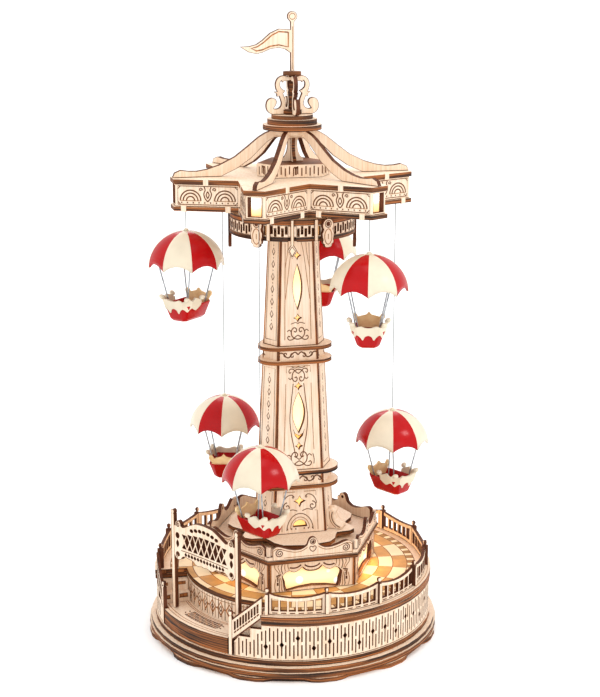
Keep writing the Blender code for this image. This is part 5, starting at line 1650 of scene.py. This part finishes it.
def basket_tub(floor):
    """The basket's shell: narrow below, wide above, with a rim and a hollow inside."""
    top = floor + BASKET_HEIGHT
    loops = [
        tub_loop(9.0, 4.8, 1.6, floor),
        tub_loop(10.6, 6.4, 2.2, floor + 1.6),
        tub_loop(12.7, 9.0, 2.9, top - 1.0),
        tub_loop(13.0, 9.4, 3.0, top),
        tub_loop(11.9, 8.3, 2.6, top),
        tub_loop(9.6, 5.2, 1.8, floor + 1.8),
    ]
    bm = bmesh.new()
    rings = [[bm.verts.new(point) for point in loop] for loop in loops]
    for low, high in zip(rings, rings[1:]):
        for i in range(len(low)):
            j = (i + 1) % len(low)
            bm.faces.new((low[i], low[j], high[j], high[i]))
    bm.faces.new(rings[0])
    bm.faces.new(rings[-1])
    bmesh.ops.recalc_face_normals(bm, faces=bm.faces)
    sharp = [edge for edge in bm.edges if edge.calc_face_angle(0.0) > 0.3]
    bmesh.ops.bevel(bm, geom=sharp, offset=0.35, segments=2, profile=0.5, affect="EDGES")
    return bm


def tube(start, end, radius, material):
    bm = lathe([(radius, 0.0), (radius, (end - start).length)], 10, material=material)
    turn = (end - start).to_track_quat("Z", "Y").to_matrix().to_4x4()
    bmesh.ops.transform(bm, matrix=Matrix.Translation(start) @ turn, verts=bm.verts)
    return bm


def coloured(bm, material):
    for face in bm.faces:
        face.material_index = material
    return bm


def front_collar(top):
    """The cream band round the tub's front: a wavy crest above, drips below and a ball at each end."""
    path = [(-10.0, 0.0), (-10.0, -8.5), (-6.5, -13.6), (6.5, -13.6), (10.0, -8.5), (10.0, 0.0)]
    middle = path_length(path, False) / 2.0
    drips = [(middle, -0.6), (17.0, -3.0), (14.8, -2.4), (12.7, -1.2), (11.2, -2.2), (9.6, -3.6), (8.0, -2.2)]
    drips = smooth(drips + [(6.4, -1.6), (4.6, -3.2), (3.4, -4.8), (2.0, -2.6), (0.0, -1.8)], 3)
    crest = [(0.0, 2.4), (2.0, 2.6), (4.0, 3.4), (5.6, 3.2), (7.0, 2.6), (8.6, 3.4), (9.8, 5.0), (11.2, 4.2)]
    crest = smooth(crest + [(12.7, 2.8), (14.6, 3.4), (16.0, 4.4), (middle, 2.0)], 3)
    outline = [(middle - x, top + z) for x, z in drips]
    outline += [(middle + x, top + z) for x, z in drips[-2::-1]]
    outline += [(middle + x, top + z) for x, z in crest[::-1]]
    outline += [(middle - x, top + z) for x, z in crest[1:]]
    thickness = 1.3
    parts = [wrap(sheet(outline, [], thickness), path, thickness)]
    for x, y in ((10.0, -0.2), (-10.0, -0.2), (8.3, -11.2), (-8.3, -11.2)):
        knob = [(0.3, top + 2.4), (1.3, top + 2.9), (1.6, top + 4.0), (1.2, top + 5.1), (0.2, top + 5.6)]
        parts.append(lathe(knob, 12, (x, y)))
    collar = merged(parts)
    for vert in collar.verts:
        spread = 1.0 + COLLAR_LEAN * (vert.co.z - top)
        vert.co.x *= spread
        vert.co.y *= spread
    return collar


def rear_plate(top):
    """The crest on the basket's rear: a cream plate painted in its shaded tone."""
    half = [(0.0, 6.4), (0.9, 5.2), (1.6, 4.6), (4.0, 4.0), (6.2, 3.4), (6.9, 4.8), (7.8, 5.6), (8.9, 5.2)]
    half += [(9.3, 4.2), (9.0, 3.0), (7.6, 1.4), (6.2, -2.4)]
    outline = [(x, top + z) for x, z in half] + [(-x, top + z) for x, z in reversed(half[1:])]
    return stand(sheet(outline, [], 1.2), 180.0, 11.6)


def make_parachute(name, azimuth, apex, facing, first_red):
    """The canopy, the basket on its four rods, and the thread from above the canopy up to the star's floor.
    """
    x, y = polar(STRING_RADIUS, azimuth)
    turned = Matrix.Translation((x, y, apex)) @ Matrix.Rotation(math.radians(facing), 4, "Z")
    body = f"{name}_parachute"
    canopy = canopy_shell(first_red)
    bmesh.ops.transform(canopy, matrix=turned, verts=canopy.verts)
    knob = [(0.9, apex - 0.6), (1.5, apex + 0.3), (1.2, apex + 1.0), (0.5, apex + 1.3)]
    parts = [canopy, lathe(knob, 16, (x, y), CREAM)]
    put(f"{name}_gores", parts, SHELLS[:2], body, [f"{name}_canopy"])
    floor = -BASKET_DROP
    top = floor + BASKET_HEIGHT
    parts = [coloured(basket_tub(floor), RED), coloured(front_collar(top), CREAM)]
    # The rear crest takes the cream plastic's painted shaded tone.
    parts.append(coloured(rear_plate(top), SHADED_CREAM))
    for side in (-1.0, 1.0):
        for end in (-1.0, 1.0):
            foot = Vector((side * 4.7, end * 7.3, floor + 1.2))
            head = Vector((side * 13.1, end * 12.9, -11.2))
            parts.append(tube(foot, head, ROD_RADIUS, STEEL))
    basket = merged(parts)
    bmesh.ops.transform(basket, matrix=turned, verts=basket.verts)
    put(f"{name}_tub", basket, SHELLS, body, [f"{name}_basket"], smooth_angle=35.0)
    low, high = apex + 1.6, STAR_FLOOR[0] - 0.3
    rings = 24
    thread = lathe([(THREAD_RADIUS, low + (high - low) * i / rings) for i in range(rings + 1)], 8, (x, y))
    piece = put(f"{name}_thread", thread, ["thread"], None, [f"{name}_cord"])
    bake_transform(piece)


# Stage.


def make_floor(scene):
    mesh = bpy.data.meshes.new("floor")
    bm = bmesh.new()
    bmesh.ops.create_grid(bm, x_segments=1, y_segments=1, size=40.0)
    bm.to_mesh(mesh)
    bm.free()
    mesh.materials.append(Finish("floor_white", (0.97, 0.97, 0.97), 0.8).material)
    floor = bpy.data.objects.new("floor", mesh)
    scene.collection.objects.link(floor)


def make_daylight(scene, strength):
    """White surroundings, and soft lamps that all look at the tower."""
    world = bpy.data.worlds.new("studio")
    world.use_nodes = True
    background = world.node_tree.nodes["Background"].inputs
    background["Color"].default_value = (1.0, 1.0, 1.0, 1.0)
    background["Strength"].default_value = strength
    scene.world = world
    scene.view_settings.view_transform = "Standard"
    scene.view_settings.look = "Medium High Contrast"
    for name, place, size, power in STUDIO_LAMPS:
        light = bpy.data.lights.new(name, "AREA")
        light.size = size
        light.energy = power
        lamp = bpy.data.objects.new(name, light)
        lamp.location = place
        lamp.rotation_euler = (Vector(LIT_POINT) - Vector(place)).to_track_quat("-Z", "Y").to_euler()
        scene.collection.objects.link(lamp)


def make_booth_lamps(scene, watts):
    """A small warm lamp in front of each booth window, which lights the deck and isn't seen itself."""
    for i, share in enumerate(LAMP_SHARES):
        light = bpy.data.lights.new("booth_lamp", "AREA")
        light.shape = "RECTANGLE"
        light.size, light.size_y = BOOTH_LAMP_SIZE
        light.color = (1.0, 0.55, 0.18)
        light.energy = watts * share
        lamp = bpy.data.objects.new("booth_lamp", light)
        x, y = polar((BOOTH_APOTHEM + 0.6) * MM, BOOTH_TURN + 60.0 * i)
        lamp.location = (x, y, LAMP_LEVEL * MM)
        lamp.rotation_euler = Vector((x, y, -0.02)).to_track_quat("-Z", "Y").to_euler()
        lamp.visible_camera = False
        scene.collection.objects.link(lamp)


def make_camera(scene, focal_length):
    data = bpy.data.cameras.new("camera")
    data.sensor_fit = "HORIZONTAL"
    data.sensor_width = 36.0
    data.lens = focal_length
    data.clip_start = 0.01
    camera = bpy.data.objects.new("camera", data)
    camera.location = CAMERA_PLACE
    camera.rotation_euler = (math.radians(CAMERA_TILT), 0.0, math.radians(CAMERA_TURN))
    scene.collection.objects.link(camera)
    scene.camera = camera


# What the user can change.


def colour_of(name, description, default):
    """A colour that the user can change."""
    return FloatVectorProperty(
        name=name, description=description, default=default, subtype="COLOR", min=0.0, max=1.0
    )


class TowerColours(bpy.types.PropertyGroup):
    plywood: colour_of("Plywood", "Face of the plywood sheets", (0.88, 0.72, 0.57))
    burnt: colour_of("Layered edge", "Edges of the thick plates", (0.21, 0.072, 0.018))
    toasted: colour_of("Toasted line", "Broad burnt lines and strips", (0.42, 0.17, 0.055))
    # The thin sheets' edges are darkened with painted shade as well as char.
    scorched_and_shaded: colour_of("Scorched edge", "Edges of the thin sheets", (0.13, 0.038, 0.012))
    engraved: colour_of("Engraving", "Deep engraved lines", (0.19, 0.075, 0.027))
    fine_engraved: colour_of("Fine engraving", "Light engraved lines", (0.50, 0.27, 0.14))
    tile_pale: colour_of("Pale tile", "Paler tiles of the deck", (0.88, 0.73, 0.50))
    tile_orange: colour_of("Orange tile", "Deeper tiles of the deck", (0.56, 0.31, 0.11))
    red: colour_of("Red", "Red plastic of the parachutes", (0.46, 0.006, 0.008))
    cream: colour_of("Cream", "Cream plastic of the parachutes", (0.77, 0.68, 0.53))
    glow: colour_of("Lamp light", "Light in the windows", (1.0, 0.62, 0.22))


class TowerStage(bpy.types.PropertyGroup):
    focal_length: FloatProperty(
        name="Focal length", description="Camera lens in millimetres", default=92.64, min=10.0, max=400.0
    )
    daylight: FloatProperty(name="Daylight", description="Strength of the room's light", default=1.0, min=0.0)
    lamp_power: FloatProperty(
        name="Lamp power", description="Watts of each booth lamp on the deck", default=0.004, min=0.0
    )


class DressingOperator:
    bl_options = {"REGISTER", "UNDO"}


class TOWER_OT_finishes(DressingOperator, bpy.types.Operator):
    """Make the plywood, plastic and film finishes"""

    bl_idname = "tower.finishes"
    bl_label = "Finishes"

    def execute(self, context):
        colours = context.scene.tower_colours
        make_wood(colours)
        make_plate_wood("plate_wood", colours, "plate")
        make_plate_wood("deck_paving", colours, "plate", paving=True)
        make_plate_wood("wall_wood", colours, "wall")
        make_plate_wood("fin_wood", colours, "fin")
        make_plastics(colours)
        make_glow(colours)
        return {"FINISHED"}


class TOWER_OT_base(DressingOperator, bpy.types.Operator):
    """Dress the base, the deck and the entry"""

    bl_idname = "tower.base"
    bl_label = "Base and entry"

    def execute(self, context):
        paint("plate_wood", "base_feet_plate", "base_lower_plate", "base_middle_plate", "base_upper_plate")
        paint("plate_wood", "deck_lower_plate", "entry_landing")
        paint("plywood_face", "entry_stair_left", "entry_stair_right")
        paint("deck_paving", "deck_plate")
        make_skirt()
        make_entry()
        make_stair_rails()
        make_sign()
        for i, name in enumerate(("front", "right", "rear", "left")):
            make_balustrade(name, BAYS_PER_PIECE * i - 1)
        return {"FINISHED"}


class TOWER_OT_booth(DressingOperator, bpy.types.Operator):
    """Dress the lit booth with its curtains and cornice"""

    bl_idname = "tower.booth"
    bl_label = "Booth"

    def execute(self, context):
        make_booth()
        return {"FINISHED"}


class TOWER_OT_column(DressingOperator, bpy.types.Operator):
    """Dress the tapering column and light its windows"""

    bl_idname = "tower.column"
    bl_label = "Column"

    def execute(self, context):
        make_lower_storey()
        make_middle_storey()
        make_upper_storey()
        make_collars()
        make_column_light()
        return {"FINISHED"}


class TOWER_OT_head(DressingOperator, bpy.types.Operator):
    """Dress the gallery, the star roof and the flag"""

    bl_idname = "tower.head"
    bl_label = "Gallery and roof"

    def execute(self, context):
        make_gallery()
        make_star()
        make_roof()
        make_flag()
        return {"FINISHED"}


class TOWER_OT_parachutes(DressingOperator, bpy.types.Operator):
    """Hang the six parachutes with their baskets"""

    bl_idname = "tower.parachutes"
    bl_label = "Parachutes"

    def execute(self, context):
        for name, place in PARACHUTES.items():
            make_parachute(name, *place)
        return {"FINISHED"}


class TOWER_OT_stage(DressingOperator, bpy.types.Operator):
    """Set the floor, the lights and the camera"""

    bl_idname = "tower.stage"
    bl_label = "Stage"

    def execute(self, context):
        scene = context.scene
        settings = scene.tower_stage
        make_floor(scene)
        make_daylight(scene, settings.daylight)
        make_booth_lamps(scene, settings.lamp_power)
        make_camera(scene, settings.focal_length)
        return {"FINISHED"}


class TOWER_PT_dressing(bpy.types.Panel):
    """The steps of the dressing, in order"""

    bl_label = "Drop Tower"
    bl_space_type = "VIEW_3D"
    bl_region_type = "UI"
    bl_category = "Drop Tower"

    def draw(self, context):
        layout = self.layout
        for operator in OPERATORS:
            layout.operator(operator.bl_idname)
        for group in (context.scene.tower_colours, context.scene.tower_stage):
            for name in group.__annotations__:
                layout.prop(group, name)


OPERATORS = (
    TOWER_OT_finishes, TOWER_OT_base, TOWER_OT_booth, TOWER_OT_column, TOWER_OT_head, TOWER_OT_parachutes,
    TOWER_OT_stage,
)


def register():
    for group in (TowerColours, TowerStage) + OPERATORS + (TOWER_PT_dressing,):
        bpy.utils.register_class(group)
    bpy.types.Scene.tower_colours = PointerProperty(type=TowerColours)
    bpy.types.Scene.tower_stage = PointerProperty(type=TowerStage)


def unregister():
    del bpy.types.Scene.tower_stage
    del bpy.types.Scene.tower_colours
    for group in reversed((TowerColours, TowerStage) + OPERATORS + (TOWER_PT_dressing,)):
        bpy.utils.unregister_class(group)


def main():
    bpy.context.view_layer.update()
    register()
    bpy.ops.tower.finishes()
    bpy.ops.tower.base()
    bpy.ops.tower.booth()
    bpy.ops.tower.column()
    bpy.ops.tower.head()
    bpy.ops.tower.parachutes()
    bpy.ops.tower.stage()
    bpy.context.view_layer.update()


if __name__ == "__main__":
    main()
